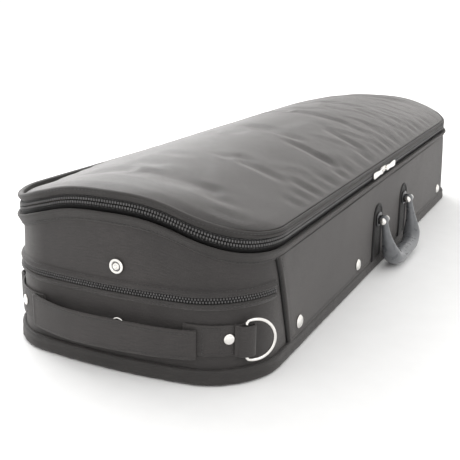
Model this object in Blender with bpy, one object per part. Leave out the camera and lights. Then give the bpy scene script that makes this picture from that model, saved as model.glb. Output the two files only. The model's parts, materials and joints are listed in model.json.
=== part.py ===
"""Oblong violin case: hard base and lid under woven covers, closed by a two-slider zip.

Frame: origin at the centre of the bottom face, +X along the length, the handle side at -Y,
the hinge side at +Y and +Z up. The end with the pocket, strap and D-rings is at -X. Metres.
"""
import math

import bmesh
import bpy
from mathutils import Matrix, Vector

# Plan of the case
HALF_LENGTH = 0.388
HALF_WIDTH = 0.128
END_BOW = 0.015
CORNER_R_BOTTOM = 0.051
CORNER_R_SLOPE_NEAR = 0.075
CORNER_R_SLOPE_FAR = 0.36
CORNER_STEPS = 5
END_STEPS = 4
SIDE_STEPS = 6

# Heights of the parting line, the zip and the lid's edge
LIP_FRONT = 0.112
LIP_BACK_RAISE = 0.005
RISE_NEAR = 0.030
RISE_FAR = 0.015
RISE_POWER = 1.43
ZIP_ABOVE_LIP = 0.008
BACK_RAISE_FADE = (0.10, -0.33)
EDGE_ABOVE_LIP = 0.0125
RIM_ABOVE_LIP_SIDES = 0.0165
RIM_ABOVE_LIP_ENDS = 0.0190
CROWN_BACK_DROP = 0.45
CROWN_BASE = 0.1245
CROWN_HEIGHT = 0.043
CROWN_NEAR_SHARE = 0.87
CROWN_FAR_SHARE = 0.50
CROWN_INSETS = (0.018, 0.042, 0.072, 0.100, 0.120)

# Layers, outside in
GAP = 0.0003
SKIN = 0.002
SHELL = 0.006
SHELLS_MEET = 0.0040
LINING = 0.002
PAD = 0.003
SHELL_OUT = -(SKIN + GAP)
SHELL_IN = SHELL_OUT - SHELL
INNER_OUT = SHELL_IN - GAP
WELT_PROUD = 0.006
HEM_HEIGHT = 0.0125
HEM_PROUD = 0.003

# Interior
BED_CLEARANCE = 0.0014
BED_TOP = 0.100
VIOLIN_BODY = 0.365
VIOLIN_END_X = 0.366
VIOLIN_FLOOR = 0.030
CHANNEL_FLOOR = 0.055
CHANNEL_HALF = 0.024
POCKET_FLOOR = 0.020

# Front fittings
STUD_XS = (-0.290, -0.110, 0.110, 0.290)
STUD_Z = 0.0275
HANDLE_X = 0.017
HANDLE_HALF_SPAN = 0.0575
HANDLE_AXIS_Z = 0.062
HANDLE_DROP = 0.0540
HANDLE_LEAN = math.radians(12.0)
PANEL_Y = -(HALF_WIDTH + GAP)
PANEL_THICK = 0.0022
TAB_THICK = 0.002
BRACKET_PLATE = 0.0014
HANDLE_AXIS_Y = PANEL_Y - PANEL_THICK - TAB_THICK - BRACKET_PLATE - 2 * GAP - 0.0050
SLIDER_MEET_X = -0.032

# End fittings, all on one band of webbing
WEB_Z = 0.040
WEB_HALF = 0.0140
STRAP_END_S = 0.0805
STRAP_THICK = 0.0024
TAB_START_S = 0.072
TAB_WEB = 0.0016
TAB_OUT = 0.0015
RIVET_S = {1: 0.108, -1: 0.1005}
RING_S = {1: 0.1215, -1: 0.1495}
RING_OUT = 0.0050
RING_WIRE = 0.0015
RING_RADIUS = 0.0182
RING_REACH = 0.0254
RING_STEPS = 14
RING_LIE_RUN = 0.030
RING_LIE_OUT = {1: 0.0183, -1: 0.0075}
POCKET_ZIP_Z = 0.0757
POCKET_SLIDER_X = -0.262

# Hinges
HINGE_XS = (-0.200, 0.200)
HINGE_Y = HALF_WIDTH + 0.0045
HINGE_Z = 0.1235
LEAF_HALF = 0.025
LEAF_HEIGHT = 0.0032
LEAF_THICK = 0.0012
KNUCKLE_HALF = 0.0085
KNUCKLE_R = 0.0024
PIN_R = 0.0010
PIN_PLAY = 0.00013
PIN_HEAD_R = 0.0018

# Bow holders in the lid
BOW_HALF_SPACING = 0.045
BOW_CLIP_X = -0.220
BOW_CLIP_ARM = (0.018, 0.004)
BOW_LOOP_X = (0.190, 0.215)
BOW_LOOP_HALF = 0.0095
BOW_LOOP_WALL = 0.0015
BOW_LOOP_DROP = 0.014

MATERIALS = {
    "nylon": ((0.055, 0.052, 0.052), 0.75, 0.0),
    "nylon_trim": ((0.035, 0.034, 0.035), 0.7, 0.0),
    "webbing": ((0.045, 0.043, 0.043), 0.7, 0.0),
    "shell_board": ((0.30, 0.24, 0.18), 0.8, 0.0),
    "plush": ((0.16, 0.025, 0.04), 0.9, 0.0),
    "zip_coil": ((0.06, 0.06, 0.06), 0.45, 0.0),
    "nickel": ((0.80, 0.79, 0.77), 0.2, 1.0),
    "grip_plastic": ((0.06, 0.06, 0.065), 0.3, 0.0),
    "hinge_steel": ((0.62, 0.62, 0.62), 0.35, 1.0),
    "bow_plastic": ((0.03, 0.03, 0.03), 0.4, 0.0),
}


def clear_scene():
    for item in list(bpy.data.objects):
        bpy.data.objects.remove(item, do_unlink=True)


def get_material(name):
    """One Principled material for each entry of MATERIALS, made on first use."""
    found = bpy.data.materials.get(name)
    if found:
        return found
    colour, roughness, metallic = MATERIALS[name]
    material = bpy.data.materials.new(name)
    material.use_nodes = True
    shader = material.node_tree.nodes["Principled BSDF"]
    shader.inputs["Base Color"].default_value = (*colour, 1.0)
    shader.inputs["Roughness"].default_value = roughness
    shader.inputs["Metallic"].default_value = metallic
    return material


def add_object(name, mesh, material, sharp=30.0, guide=False):
    thing = bpy.data.objects.new(name, mesh)
    bpy.context.scene.collection.objects.link(thing)
    mesh.materials.append(get_material(material))
    mesh.shade_smooth()
    mesh.set_sharp_from_angle(angle=math.radians(sharp))
    if guide:
        thing.hide_render = True
        thing.display_type = "WIRE"
    return thing


def mesh_from(name, points, faces):
    """A mesh from points and faces, with its faces turned outwards."""
    shape = bmesh.new()
    verts = [shape.verts.new(point) for point in points]
    for face in faces:
        shape.faces.new([verts[index] for index in face])
    bmesh.ops.recalc_face_normals(shape, faces=shape.faces)
    mesh = bpy.data.meshes.new(name)
    shape.to_mesh(mesh)
    shape.free()
    return mesh


def bridge(points, first, second, count):
    """Triangles between two loops; every diagonal climbs the same way, so that layers stay parallel."""
    levels = [sum(point[2] for point in points[start:start + count]) for start in (first, second)]
    lower, upper = (first, second) if levels[0] <= levels[1] else (second, first)
    triangles = []
    for index in range(count):
        after = (index + 1) % count
        triangles.append((lower + index, lower + after, upper + after))
        triangles.append((lower + index, upper + after, upper + index))
    return triangles


def ring_solid(name, loops, material):
    """A closed band: each loop joined to the next, and the last to the first."""
    count = len(loops[0])
    points = [point for loop in loops for point in loop]
    faces = []
    for number in range(len(loops)):
        following = (number + 1) % len(loops)
        faces += bridge(points, number * count, following * count, count)
    return add_object(name, mesh_from(name, points, faces), material)


def flat_cap(first, count):
    return [tuple(range(first, first + count))]


def crossed_cap(first, count):
    """Triangles from the front run of a plan loop straight across to the back run."""
    tip = 2 * SIDE_STEPS + CORNER_STEPS * 2 + END_STEPS
    middle = tip // 2
    front = [first + (middle - step) % count for step in range(count // 2 + 1)]
    back = [first + (middle + step) % count for step in range(count // 2 + 1)]
    triangles = []
    for step in range(count // 2):
        if step:
            triangles.append((front[step], front[step + 1], back[step]))
        if step < count // 2 - 1:
            triangles.append((front[step + 1], back[step + 1], back[step]))
    return triangles


def capped_solid(name, loops, material, guide=False, cap=flat_cap):
    """A closed skin through the loops, with a cap on the first and the last."""
    count = len(loops[0])
    points = [point for loop in loops for point in loop]
    faces = cap(0, count)
    for number in range(len(loops) - 1):
        faces += bridge(points, number * count, (number + 1) * count, count)
    faces += cap((len(loops) - 1) * count, count)
    return add_object(name, mesh_from(name, points, faces), material, guide=guide)


def box_solid(name, low, high, material, guide=False):
    loops = []
    for z in (low[2], high[2]):
        loops.append([(low[0], low[1], z), (high[0], low[1], z), (high[0], high[1], z), (low[0], high[1], z)])
    return capped_solid(name, loops, material, guide=guide)


def turned(name, profile, place, axis, material, steps=16, guide=False):
    """A solid of revolution; profile is (distance along the axis, radius)."""
    turn = Vector((0, 0, 1)).rotation_difference(Vector(axis)).to_matrix()
    loops = []
    for along, radius in profile:
        loop = []
        for index in range(steps):
            angle = 2 * math.pi * index / steps
            spot = Vector((radius * math.cos(angle), radius * math.sin(angle), along))
            loop.append(tuple(turn @ spot + Vector(place)))
        loops.append(loop)
    return capped_solid(name, loops, material, guide=guide)


def boolean(target, tool, operation):
    modifier = target.modifiers.new(operation.lower() + "_" + tool.name, "BOOLEAN")
    modifier.operation = operation
    modifier.object = tool
    modifier.solver = "EXACT"


def set_origin(thing, place):
    """Moves the object's origin to its joint axis and keeps its mesh in place."""
    thing.data.transform(Matrix.Translation(-Vector(place)))
    thing.location = place


# --- Plan of the case -------------------------------------------------------------------------

def corner_radius(end, z):
    slope = CORNER_R_SLOPE_NEAR if end < 0 else CORNER_R_SLOPE_FAR
    return CORNER_R_BOTTOM + slope * z


def plan_keys():
    """Every point of the plan, anticlockwise: (kind, x sign, y sign, share)."""
    keys = []
    for index in range(SIDE_STEPS):
        keys.append(("side", 0, -1, -1 + 2 * index / SIDE_STEPS))
    for index in range(CORNER_STEPS):
        keys.append(("corner", 1, -1, 1 - index / CORNER_STEPS))
    for index in range(END_STEPS):
        keys.append(("end", 1, 0, -1 + 2 * index / END_STEPS))
    for index in range(CORNER_STEPS):
        keys.append(("corner", 1, 1, index / CORNER_STEPS))
    for index in range(SIDE_STEPS):
        keys.append(("side", 0, 1, 1 - 2 * index / SIDE_STEPS))
    for index in range(CORNER_STEPS):
        keys.append(("corner", -1, 1, 1 - index / CORNER_STEPS))
    for index in range(END_STEPS):
        keys.append(("end", -1, 0, 1 - 2 * index / END_STEPS))
    for index in range(CORNER_STEPS):
        keys.append(("corner", -1, -1, index / CORNER_STEPS))
    return keys


def plan_point(key, z, offset=0.0, inset=0.0):
    """The plan's point at height z; offset moves out along the normal, inset shrinks the plan."""
    kind, end, side, share = key
    half_length = HALF_LENGTH - inset
    half_width = HALF_WIDTH - inset
    bow = END_BOW * (1 - inset / HALF_WIDTH)
    near = max(corner_radius(-1, z) - inset, 0.004)
    far = max(corner_radius(1, z) - inset, 0.004)
    if kind == "side":
        low = -(half_length - near)
        high = half_length - far
        return (low + (high - low) * (share + 1) / 2, side * (half_width + offset))
    radius = near if end < 0 else far
    centre_y = half_width - radius
    if kind == "end":
        y = share * centre_y
        return (end * (half_length + offset + bow * (1 - (y / half_width) ** 2)), y)
    angle = share * math.pi / 2
    x = half_length - radius + (radius + offset) * math.cos(angle)
    y = centre_y + (radius + offset) * math.sin(angle)
    bare_y = centre_y + radius * math.sin(angle)
    x += bow * math.cos(angle) * (1 - (bare_y / half_width) ** 2)
    return (end * x, side * y)


def end_share(x):
    """0 at the -X end and 1 at the +X end."""
    return min(max((x + HALF_LENGTH) / (2 * HALF_LENGTH), 0.0), 1.0)


def lip_height(x, y):
    """Height of the base's top edge, which arches up at the middle of each end."""
    across = min(abs(y) / HALF_WIDTH, 1.0)
    rise = RISE_NEAR + (RISE_FAR - RISE_NEAR) * end_share(x)
    arch = 0.5 * (1 + math.cos(math.pi * across ** RISE_POWER))
    return LIP_FRONT + rise * arch + LIP_BACK_RAISE * backness(y) * back_fade(x)


def backness(y):
    """0 over the front and the middle, and 1 at the hinge side."""
    return min(max((y - 0.06) / 0.06, 0.0), 1.0)


def back_fade(x):
    """1 at the -X end, fading to 0 along the hinge side."""
    start, stop = BACK_RAISE_FADE
    return min(max((x - start) / (stop - start), 0.0), 1.0)


def edge_height(x, y):
    """Height of the lid's lower edge."""
    return lip_height(x, y) + EDGE_ABOVE_LIP


def rim_height(x, y):
    """Height at which the lid's side turns over into its crowned top."""
    front = min(max((y + HALF_WIDTH) / 0.02, 0.0), 1.0)
    end = front * (1 - backness(y) * (1 - back_fade(x)))
    return lip_height(x, y) + RIM_ABOVE_LIP_SIDES + (RIM_ABOVE_LIP_ENDS - RIM_ABOVE_LIP_SIDES) * end


def level_at(key, height):
    """The height at one point of the plan, where the plan itself depends a little on the height."""
    if not callable(height):
        return height
    z = LIP_FRONT
    for _ in range(4):
        z = height(*plan_point(key, z))
    return z


def plan_loop(offset, height):
    """A loop of 3-D points; height is a number or a function of the plain plan position."""
    loop = []
    for key in plan_keys():
        z = level_at(key, height)
        loop.append((*plan_point(key, z, offset), z))
    return loop


def raised(height, amount):
    return lambda x, y: height(x, y) + amount


def crown_height(x, y):
    share = end_share(x)
    near = CROWN_NEAR_SHARE + (1 - CROWN_NEAR_SHARE) * min(share / 0.16, 1.0)
    far = 1 - (1 - CROWN_FAR_SHARE) * max((share - 0.55) / 0.45, 0.0) ** 1.6
    across = min(abs(y) / HALF_WIDTH, 1.0)
    arch = 1 - across ** 2
    if y > 0:
        arch -= CROWN_BACK_DROP * across ** 2 * (1 - across)
    return CROWN_BASE + CROWN_HEIGHT * min(near, far) * arch


def crown_loop(inset, drop):
    """A loop on the crowned top, inset from the rim and lowered by drop."""
    loop = []
    for key in plan_keys():
        rim = level_at(key, rim_height)
        rim_x, rim_y = plan_point(key, rim)
        x, y = plan_point(key, rim, 0.0, inset)
        fade = max(1 - inset / 0.05, 0.0) ** 1.5
        lift = rim - crown_height(rim_x, rim_y)
        loop.append((x, y, crown_height(x, y) + lift * fade - drop))
    return loop


# --- Base ---------------------------------------------------------------------------------------

def make_base():
    capped_solid("base_bottom_panel", [plan_loop(0.0, 0.0), plan_loop(0.0, SKIN)], "nylon")
    low = SKIN + GAP
    ring_solid("bottom_welt", [
        plan_loop(GAP, low), plan_loop(GAP, HEM_HEIGHT),
        plan_loop(HEM_PROUD, HEM_HEIGHT), plan_loop(HEM_PROUD, low)], "nylon_trim")
    rim = raised(lip_height, SHELLS_MEET)
    floor = low + SHELL
    capped_solid("base_shell", [
        plan_loop(SHELL_OUT, low), plan_loop(SHELL_OUT, rim),
        plan_loop(SHELL_IN, rim), plan_loop(SHELL_IN, floor)], "shell_board")
    ring_solid("base_cover", [
        plan_loop(-SKIN, low), plan_loop(0.0, low),
        plan_loop(0.0, lip_height), plan_loop(-SKIN, lip_height)], "nylon")
    ring_solid("base_lip", [
        plan_loop(GAP, raised(lip_height, -0.009)), plan_loop(0.001, raised(lip_height, -0.009)),
        plan_loop(WELT_PROUD, raised(lip_height, -0.002)), plan_loop(WELT_PROUD, lip_height),
        plan_loop(GAP, lip_height)], "nylon_trim")
    tape_low = raised(lip_height, GAP)
    tape_high = raised(lip_height, ZIP_ABOVE_LIP - GAP)
    ring_solid("zipper_tape_lower", [
        plan_loop(-SKIN, tape_low), plan_loop(0.0, tape_low),
        plan_loop(0.0, tape_high), plan_loop(-SKIN, tape_high)], "zip_coil")


def violin_half_width(share):
    """Half width of the violin's body cavity, from the neck end (0) to the tail end (1)."""
    upper, waist, lower = 0.088, 0.064, 0.110
    if share < 0.24:
        return upper * math.sqrt(max(1 - ((0.24 - share) / 0.24) ** 2, 0.0))
    if share < 0.74:
        swing = 0.5 * (1 - math.cos(2 * math.pi * (share - 0.24) / 0.50))
        level = upper + (lower - upper) * (share - 0.24) / 0.50
        return level + (waist - (upper + lower) / 2) * swing
    return lower * math.sqrt(max(1 - ((share - 0.74) / 0.26) ** 2, 0.0))


def violin_outline():
    steps = 14
    shares = [0.5 * (1 - math.cos(math.pi * index / steps)) for index in range(steps + 1)]
    start = VIOLIN_END_X - VIOLIN_BODY
    lower = [(start + VIOLIN_BODY * s, -violin_half_width(s)) for s in shares]
    upper = [(x, -y) for x, y in reversed(lower[1:-1])]
    return lower + upper


def make_bed():
    """The padded bed, with the cavities for the violin, its neck and scroll, and the accessories."""
    low = SKIN + GAP + SHELL + GAP
    bed = capped_solid("violin_bed", [
        plan_loop(INNER_OUT - BED_CLEARANCE, low), plan_loop(INNER_OUT - BED_CLEARANCE, BED_TOP)], "plush")
    above = BED_TOP + 0.01
    body = [[(x, y, z) for x, y in violin_outline()] for z in (VIOLIN_FLOOR, above)]
    cutters = [capped_solid("cut_violin", body, "plush", guide=True)]
    spaces = {
        "cut_neck": ((-0.246, -CHANNEL_HALF, CHANNEL_FLOOR), (0.030, CHANNEL_HALF, above)),
        "cut_scroll": ((-0.240, -0.0215, 0.035), (-0.150, 0.0215, CHANNEL_FLOOR + 0.005)),
        "cut_pocket_front": ((-0.240, -0.108, POCKET_FLOOR), (-0.030, -0.038, above)),
        "cut_pocket_back": ((-0.240, 0.038, POCKET_FLOOR), (-0.030, 0.108, above)),
        "cut_pocket_end": ((-0.350, -0.085, POCKET_FLOOR), (-0.262, 0.085, above)),
    }
    for name, (corner, opposite) in spaces.items():
        cutters.append(box_solid(name, corner, opposite, "plush", guide=True))
    for cutter in cutters:
        boolean(bed, cutter, "DIFFERENCE")


def make_neck_support():
    """A saddle on the channel's floor, and the strap that holds the neck down."""
    sections = []
    for x in (-0.075, -0.035):
        half = CHANNEL_HALF - 0.0005
        base = CHANNEL_FLOOR + GAP
        sections.append([
            (x, -half, base), (x, half, base), (x, half, 0.088), (x, half - 0.007, 0.088),
            (x, 0.008, 0.070), (x, -0.008, 0.070), (x, -half + 0.007, 0.088), (x, -half, 0.088)])
    capped_solid("neck_cradle", sections, "plush")
    low = BED_TOP + GAP
    box_solid("neck_strap", (-0.068, -0.032, low), (-0.042, 0.032, low + 0.002), "webbing")


def make_front_panel():
    """The raised panel along the front, with slanted ends."""
    bottom, top = HEM_HEIGHT + GAP, LIP_FRONT - 0.0095
    outline = [(-0.311, bottom), (0.322, bottom), (0.312, top), (-0.340, top)]
    loops = [[(x, y, z) for x, z in outline] for y in (PANEL_Y, PANEL_Y - PANEL_THICK)]
    capped_solid("front_panel", loops, "nylon")


def make_studs():
    """Domed metal studs, four low on the front panel and four feet on the hinge side."""
    profile = [(0.0, 0.0064), (0.0012, 0.0064), (0.0026, 0.0048), (0.0033, 0.0022)]
    for number, x in enumerate(STUD_XS, start=1):
        front = (x, PANEL_Y - PANEL_THICK - GAP, STUD_Z)
        turned(f"front_stud_{number}", profile, front, (0, -1, 0), "nickel", 14)
        turned(f"rear_foot_{number}", profile, (x, HALF_WIDTH + GAP, STUD_Z), (0, 1, 0), "nickel", 14)


def make_handle_tabs():
    """Round-topped patches that hold the handle's brackets."""
    low = HEM_HEIGHT + 2 * GAP + 0.001
    half, shoulder, top_z = 0.0155, 0.068, 0.081
    y_in = PANEL_Y - PANEL_THICK - GAP
    for side, name in ((-1, "left"), (1, "right")):
        centre = HANDLE_X + side * HANDLE_HALF_SPAN
        outline = [(centre - half, low), (centre + half, low)]
        for index in range(7):
            angle = math.pi * index / 6
            outline.append((centre + half * math.cos(angle), shoulder + (top_z - shoulder) * math.sin(angle)))
        loops = [[(x, y, z) for x, z in outline] for y in (y_in, y_in - TAB_THICK)]
        capped_solid(f"handle_tab_{name}", loops, "webbing")
        make_bracket(name, centre, y_in - TAB_THICK - GAP)


def make_bracket(name, centre, y_in):
    """A metal plate with two lugs that carry the handle's pin."""
    y_out = y_in - BRACKET_PLATE
    plate = box_solid(f"handle_bracket_{name}", (centre - 0.011, y_out, HANDLE_AXIS_Z - 0.008),
                      (centre + 0.011, y_in, HANDLE_AXIS_Z + 0.008), "nickel")
    for side in (-1, 1):
        start = centre + side * 0.0066
        stop = centre + side * 0.0090
        low, high = min(start, stop), max(start, stop)
        root = box_solid(f"lug_root_{name}_{side}", (low, HANDLE_AXIS_Y, HANDLE_AXIS_Z - 0.0036),
                         (high, y_out + 0.0005, HANDLE_AXIS_Z + 0.0036), "nickel", guide=True)
        eye = turned(f"lug_eye_{name}_{side}", [(low, 0.0038), (high, 0.0038)],
                     (0, HANDLE_AXIS_Y, HANDLE_AXIS_Z), (1, 0, 0), "nickel", 16, guide=True)
        boolean(plate, root, "UNION")
        boolean(plate, eye, "UNION")
    hole = turned(f"lug_hole_{name}", [(centre - 0.02, 0.00215), (centre + 0.02, 0.00215)],
                  (0, HANDLE_AXIS_Y, HANDLE_AXIS_Z), (1, 0, 0), "nickel", 16, guide=True)
    boolean(plate, hole, "DIFFERENCE")


def grip_path():
    """Centre line of the U-shaped grip in its own plane: (x from the middle, drop, radius)."""
    spots = []
    steps = 16
    for index in range(steps + 1):
        share = -1 + 2 * index / steps
        bend = math.copysign(abs(math.sin(share * math.pi / 2)) ** 0.75, share)
        across = HANDLE_HALF_SPAN * bend
        drop = HANDLE_DROP * (1 - abs(share) ** 3.2)
        radius = 0.0042 + (0.0080 - 0.0042) * min((1 - abs(share)) / 0.45, 1.0)
        spots.append((across, drop, radius))
    return spots


def make_handle():
    """The moulded grip with an eye at each end, and the two pins that it swings on."""
    lean = Matrix.Rotation(-HANDLE_LEAN, 3, "X")
    pivot = Vector((HANDLE_X, HANDLE_AXIS_Y, HANDLE_AXIS_Z))
    spots = grip_path()
    sections = []
    sides = 10
    for index, (across, drop, radius) in enumerate(spots):
        before = spots[max(index - 1, 0)]
        after = spots[min(index + 1, len(spots) - 1)]
        along = Vector((after[0] - before[0], 0, before[1] - after[1])).normalized()
        out = Vector((0, 1, 0))
        across_dir = along.cross(out)
        section = []
        for corner in range(sides):
            angle = 2 * math.pi * corner / sides
            spot = Vector((across, 0, -drop)) + radius * (
                math.cos(angle) * out + math.sin(angle) * across_dir)
            section.append(tuple(pivot + lean @ spot))
        sections.append(section)
    grip = capped_solid("handle_grip", sections, "grip_plastic")
    for side, name in ((-1, "left"), (1, "right")):
        centre = HANDLE_X + side * HANDLE_HALF_SPAN
        place = (centre, HANDLE_AXIS_Y, HANDLE_AXIS_Z)
        eye = turned(f"grip_eye_{name}", [(-0.0060, 0.0044), (0.0060, 0.0044)], place, (1, 0, 0),
                     "grip_plastic", 16, guide=True)
        hole = turned(f"grip_hole_{name}", [(-0.02, 0.0023), (0.02, 0.0023)], place, (1, 0, 0),
                      "grip_plastic", 16, guide=True)
        boolean(grip, eye, "UNION")
        boolean(grip, hole, "DIFFERENCE")
        profile = [(-0.0122, 0.0026), (-0.0113, 0.0034), (-0.0093, 0.0034), (-0.0093, 0.0020),
                   (0.0093, 0.0020), (0.0093, 0.0034), (0.0113, 0.0034), (0.0122, 0.0026)]
        pin = turned(f"handle_pin_{name}", profile, place, (1, 0, 0), "nickel", 16)
        set_origin(pin, place)
    for thing in (grip, *[bpy.data.objects[n] for n in bpy.data.objects.keys() if n.startswith("grip_")]):
        set_origin(thing, pivot)


# --- End with the pocket, strap and D-rings -------------------------------------------------------

def end_curve():
    """Points round the -X end at the webbing's height, from the front side to the back side."""
    radius = corner_radius(-1, WEB_Z)
    centre = (-(HALF_LENGTH - radius), HALF_WIDTH - radius)
    spots = [Vector((centre[0] + 0.10, -HALF_WIDTH))]
    keys = [("corner", -1, -1, 1 - index / 24) for index in range(24)]
    keys += [("end", -1, 0, -1 + 2 * index / 24) for index in range(24)]
    keys += [("corner", -1, 1, index / 24) for index in range(25)]
    spots += [Vector(plan_point(key, WEB_Z)) for key in keys]
    spots.append(Vector((centre[0] + 0.10, HALF_WIDTH)))
    return spots


def on_end(distance, offset):
    """The point at a distance round the end from its middle, + towards the front, and its normal."""
    spots = end_curve()
    runs = [0.0]
    for first, second in zip(spots, spots[1:]):
        runs.append(runs[-1] + (second - first).length)
    wanted = runs[-1] / 2 - distance
    for index in range(len(spots) - 1):
        if runs[index + 1] >= wanted or index == len(spots) - 2:
            break
    along = (spots[index + 1] - spots[index]).normalized()
    normal = Vector((along.y, -along.x))
    if normal.x * spots[index].x + normal.y * spots[index].y < 0:
        normal = -normal
    place = spots[index] + along * (wanted - runs[index]) + normal * offset
    return place, normal


def end_band(name, start, stop, z_low, z_high, offset, thick, material, steps=10):
    """A flat band on the end wall; offset is a number or a function of the distance."""
    sections = []
    for index in range(steps + 1):
        distance = start + (stop - start) * index / steps
        out = offset(distance) if callable(offset) else offset
        inner, _ = on_end(distance, out)
        outer, _ = on_end(distance, out + thick)
        sections.append([(inner.x, inner.y, z_low), (outer.x, outer.y, z_low),
                         (outer.x, outer.y, z_high), (inner.x, inner.y, z_high)])
    return capped_solid(name, sections, material)


def strap_offset(distance):
    """The strap lies on the tabs at both ends and stands off the wall between them."""
    seat = TAB_OUT + TAB_WEB / 2 + GAP
    free = max(1 - (distance / STRAP_END_S) ** 2, 0.0)
    return seat + 0.0095 * free ** 0.7


def tab_path(side):
    """Middle line of a tab's webbing, as (distance, offset): out along the wall and back over the bar."""
    bar = RING_S[side]
    lengths = [TAB_START_S + (bar + 0.0055 - TAB_START_S) * index / 7 for index in range(8)]
    path = [(length, TAB_OUT) for length in lengths]
    loop = [(0.0077, 0.0024), (0.0085, 0.0042), (0.0079, 0.0062), (0.0061, 0.0077), (0.0030, 0.0084),
            (-0.0003, 0.0086), (-0.0035, 0.0080), (-0.0057, 0.0062), (-0.0065, 0.0036)]
    return path + [(bar + along, offset) for along, offset in loop]


def make_tab(name, side, z_low, z_high):
    """One length of webbing, folded back on itself round the straight bar of the D-ring."""
    path = tab_path(side)
    sections = []
    for index, (distance, offset) in enumerate(path):
        before = path[max(index - 1, 0)]
        after = path[min(index + 1, len(path) - 1)]
        run = Vector((after[0] - before[0], after[1] - before[1])).normalized()
        corners = []
        for way in (-0.5, 0.5):
            spot, _ = on_end(side * (distance - run.y * TAB_WEB * way), offset + run.x * TAB_WEB * way)
            corners.append(spot)
        inner, outer = corners
        sections.append([(inner.x, inner.y, z_low), (outer.x, outer.y, z_low),
                         (outer.x, outer.y, z_high), (inner.x, inner.y, z_high)])
    return capped_solid(name, sections, "webbing")


def make_end_fittings():
    low, high = WEB_Z - WEB_HALF, WEB_Z + WEB_HALF
    end_band("pocket_zipper", -0.240, 0.155, POCKET_ZIP_Z - 0.006, POCKET_ZIP_Z + 0.006, 0.0006,
             0.0012, "zip_coil", 48)
    end_band("end_strap", -STRAP_END_S, STRAP_END_S, low, high, strap_offset, STRAP_THICK, "webbing", 16)
    for side, name in ((1, "front"), (-1, "back")):
        make_tab(f"strap_tab_{name}", side, low, high)
        place, normal = on_end(side * RIVET_S[side], TAB_OUT + TAB_WEB / 2 + GAP)
        turned(f"strap_rivet_{name}", [(0.0, 0.0048), (0.0010, 0.0048), (0.0020, 0.0030)],
               (place.x, place.y, WEB_Z + 0.002), (normal.x, normal.y, 0), "nickel", 14)
        make_ring(name, side)
    tip = -(HALF_LENGTH + END_BOW + GAP)
    turned("snap_socket", [(0.0, 0.0068), (0.0012, 0.0068), (0.0024, 0.0052), (0.0026, 0.0026)],
           (tip + 0.00005, -0.009, 0.096), (-1, 0, 0), "nickel", 14)
    turned("snap_stud", [(0.0, 0.0062), (0.0010, 0.0062), (0.0012, 0.0026), (0.0038, 0.0030)],
           (tip, -0.009, 0.044), (-1, 0, 0), "nickel", 14)


def ring_place(side):
    """Axis of a D-ring's straight bar and the direction in which the ring lies."""
    place, _ = on_end(side * RING_S[side], RING_OUT)
    beyond, _ = on_end(side * (RING_S[side] + RING_LIE_RUN), RING_LIE_OUT[side])
    return place, (beyond - place).normalized()


def make_ring(name, side):
    """A D-ring: a straight bar and a bow of round wire, in a fold of webbing."""
    place, lie = ring_place(side)
    middle = RING_REACH - RING_RADIUS
    opening = math.acos(-middle / RING_RADIUS)
    path = [(0.0, 0.0)]
    for index in range(RING_STEPS + 1):
        angle = opening * (1 - 2 * index / RING_STEPS)
        path.append((middle + RING_RADIUS * math.cos(angle), RING_RADIUS * math.sin(angle)))
    centre = Vector((place.x, place.y, WEB_Z))
    across = Vector((lie.x, lie.y, 0))
    normal = across.cross(Vector((0, 0, 1)))
    loops = []
    for corner in range(8):
        angle = 2 * math.pi * corner / 8
        loop = []
        for index, (out, height) in enumerate(path):
            before = path[index - 1]
            after = path[(index + 1) % len(path)]
            run = Vector((after[0] - before[0], after[1] - before[1])).normalized()
            side_way = Vector((run.y, -run.x))
            spot = centre + across * (out + RING_WIRE * math.cos(angle) * side_way.x)
            spot += Vector((0, 0, height + RING_WIRE * math.cos(angle) * side_way.y))
            spot += normal * (RING_WIRE * math.sin(angle))
            loop.append(tuple(spot))
        loops.append(loop)
    ring = ring_solid(f"d_ring_{name}", loops, "nickel")
    set_origin(ring, centre)


# --- Zips ------------------------------------------------------------------------------------------

def make_slider(name, x, y, z, out, way):
    """A zip slider with a bridge, and a long flat pull that turns on it; way is the pull's side."""
    face = y + out * 0.0040
    body = [(-0.0060, -0.0036), (0.0060, -0.0030), (0.0060, 0.0030), (-0.0060, 0.0036)]
    loops = [[(x + a * way, spot, z + b) for a, b in body] for spot in (y, face)]
    capped_solid(f"{name}_slider", loops, "nickel")
    hinge_x = x + 0.001 * way
    low_y = face + out * GAP
    half_outline = [(0.0, 0.0028), (0.007, 0.0031), (0.011, 0.0025), (0.022, 0.0035), (0.031, 0.0037),
                    (0.0355, 0.0030), (0.037, 0.0016)]
    outline = [(a, -b) for a, b in half_outline] + [(a, b) for a, b in reversed(half_outline)]
    loops = [[(hinge_x + a * way, spot, z + b) for a, b in outline] for spot in (low_y, low_y + out * 0.0016)]
    pull = capped_solid(f"{name}_pull", loops, "nickel")
    set_origin(pull, (hinge_x, low_y, z))


def make_sliders():
    front_y = -(HALF_WIDTH + 0.0006)
    zip_z = LIP_FRONT + ZIP_ABOVE_LIP
    make_slider("zip_left", SLIDER_MEET_X - 0.0065, front_y, zip_z, -1, -1)
    make_slider("zip_right", SLIDER_MEET_X + 0.0065, front_y, zip_z, -1, 1)
    make_slider("pocket", POCKET_SLIDER_X, HALF_WIDTH + 0.0022, POCKET_ZIP_Z, 1, 1)


# --- Lid -------------------------------------------------------------------------------------------

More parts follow.
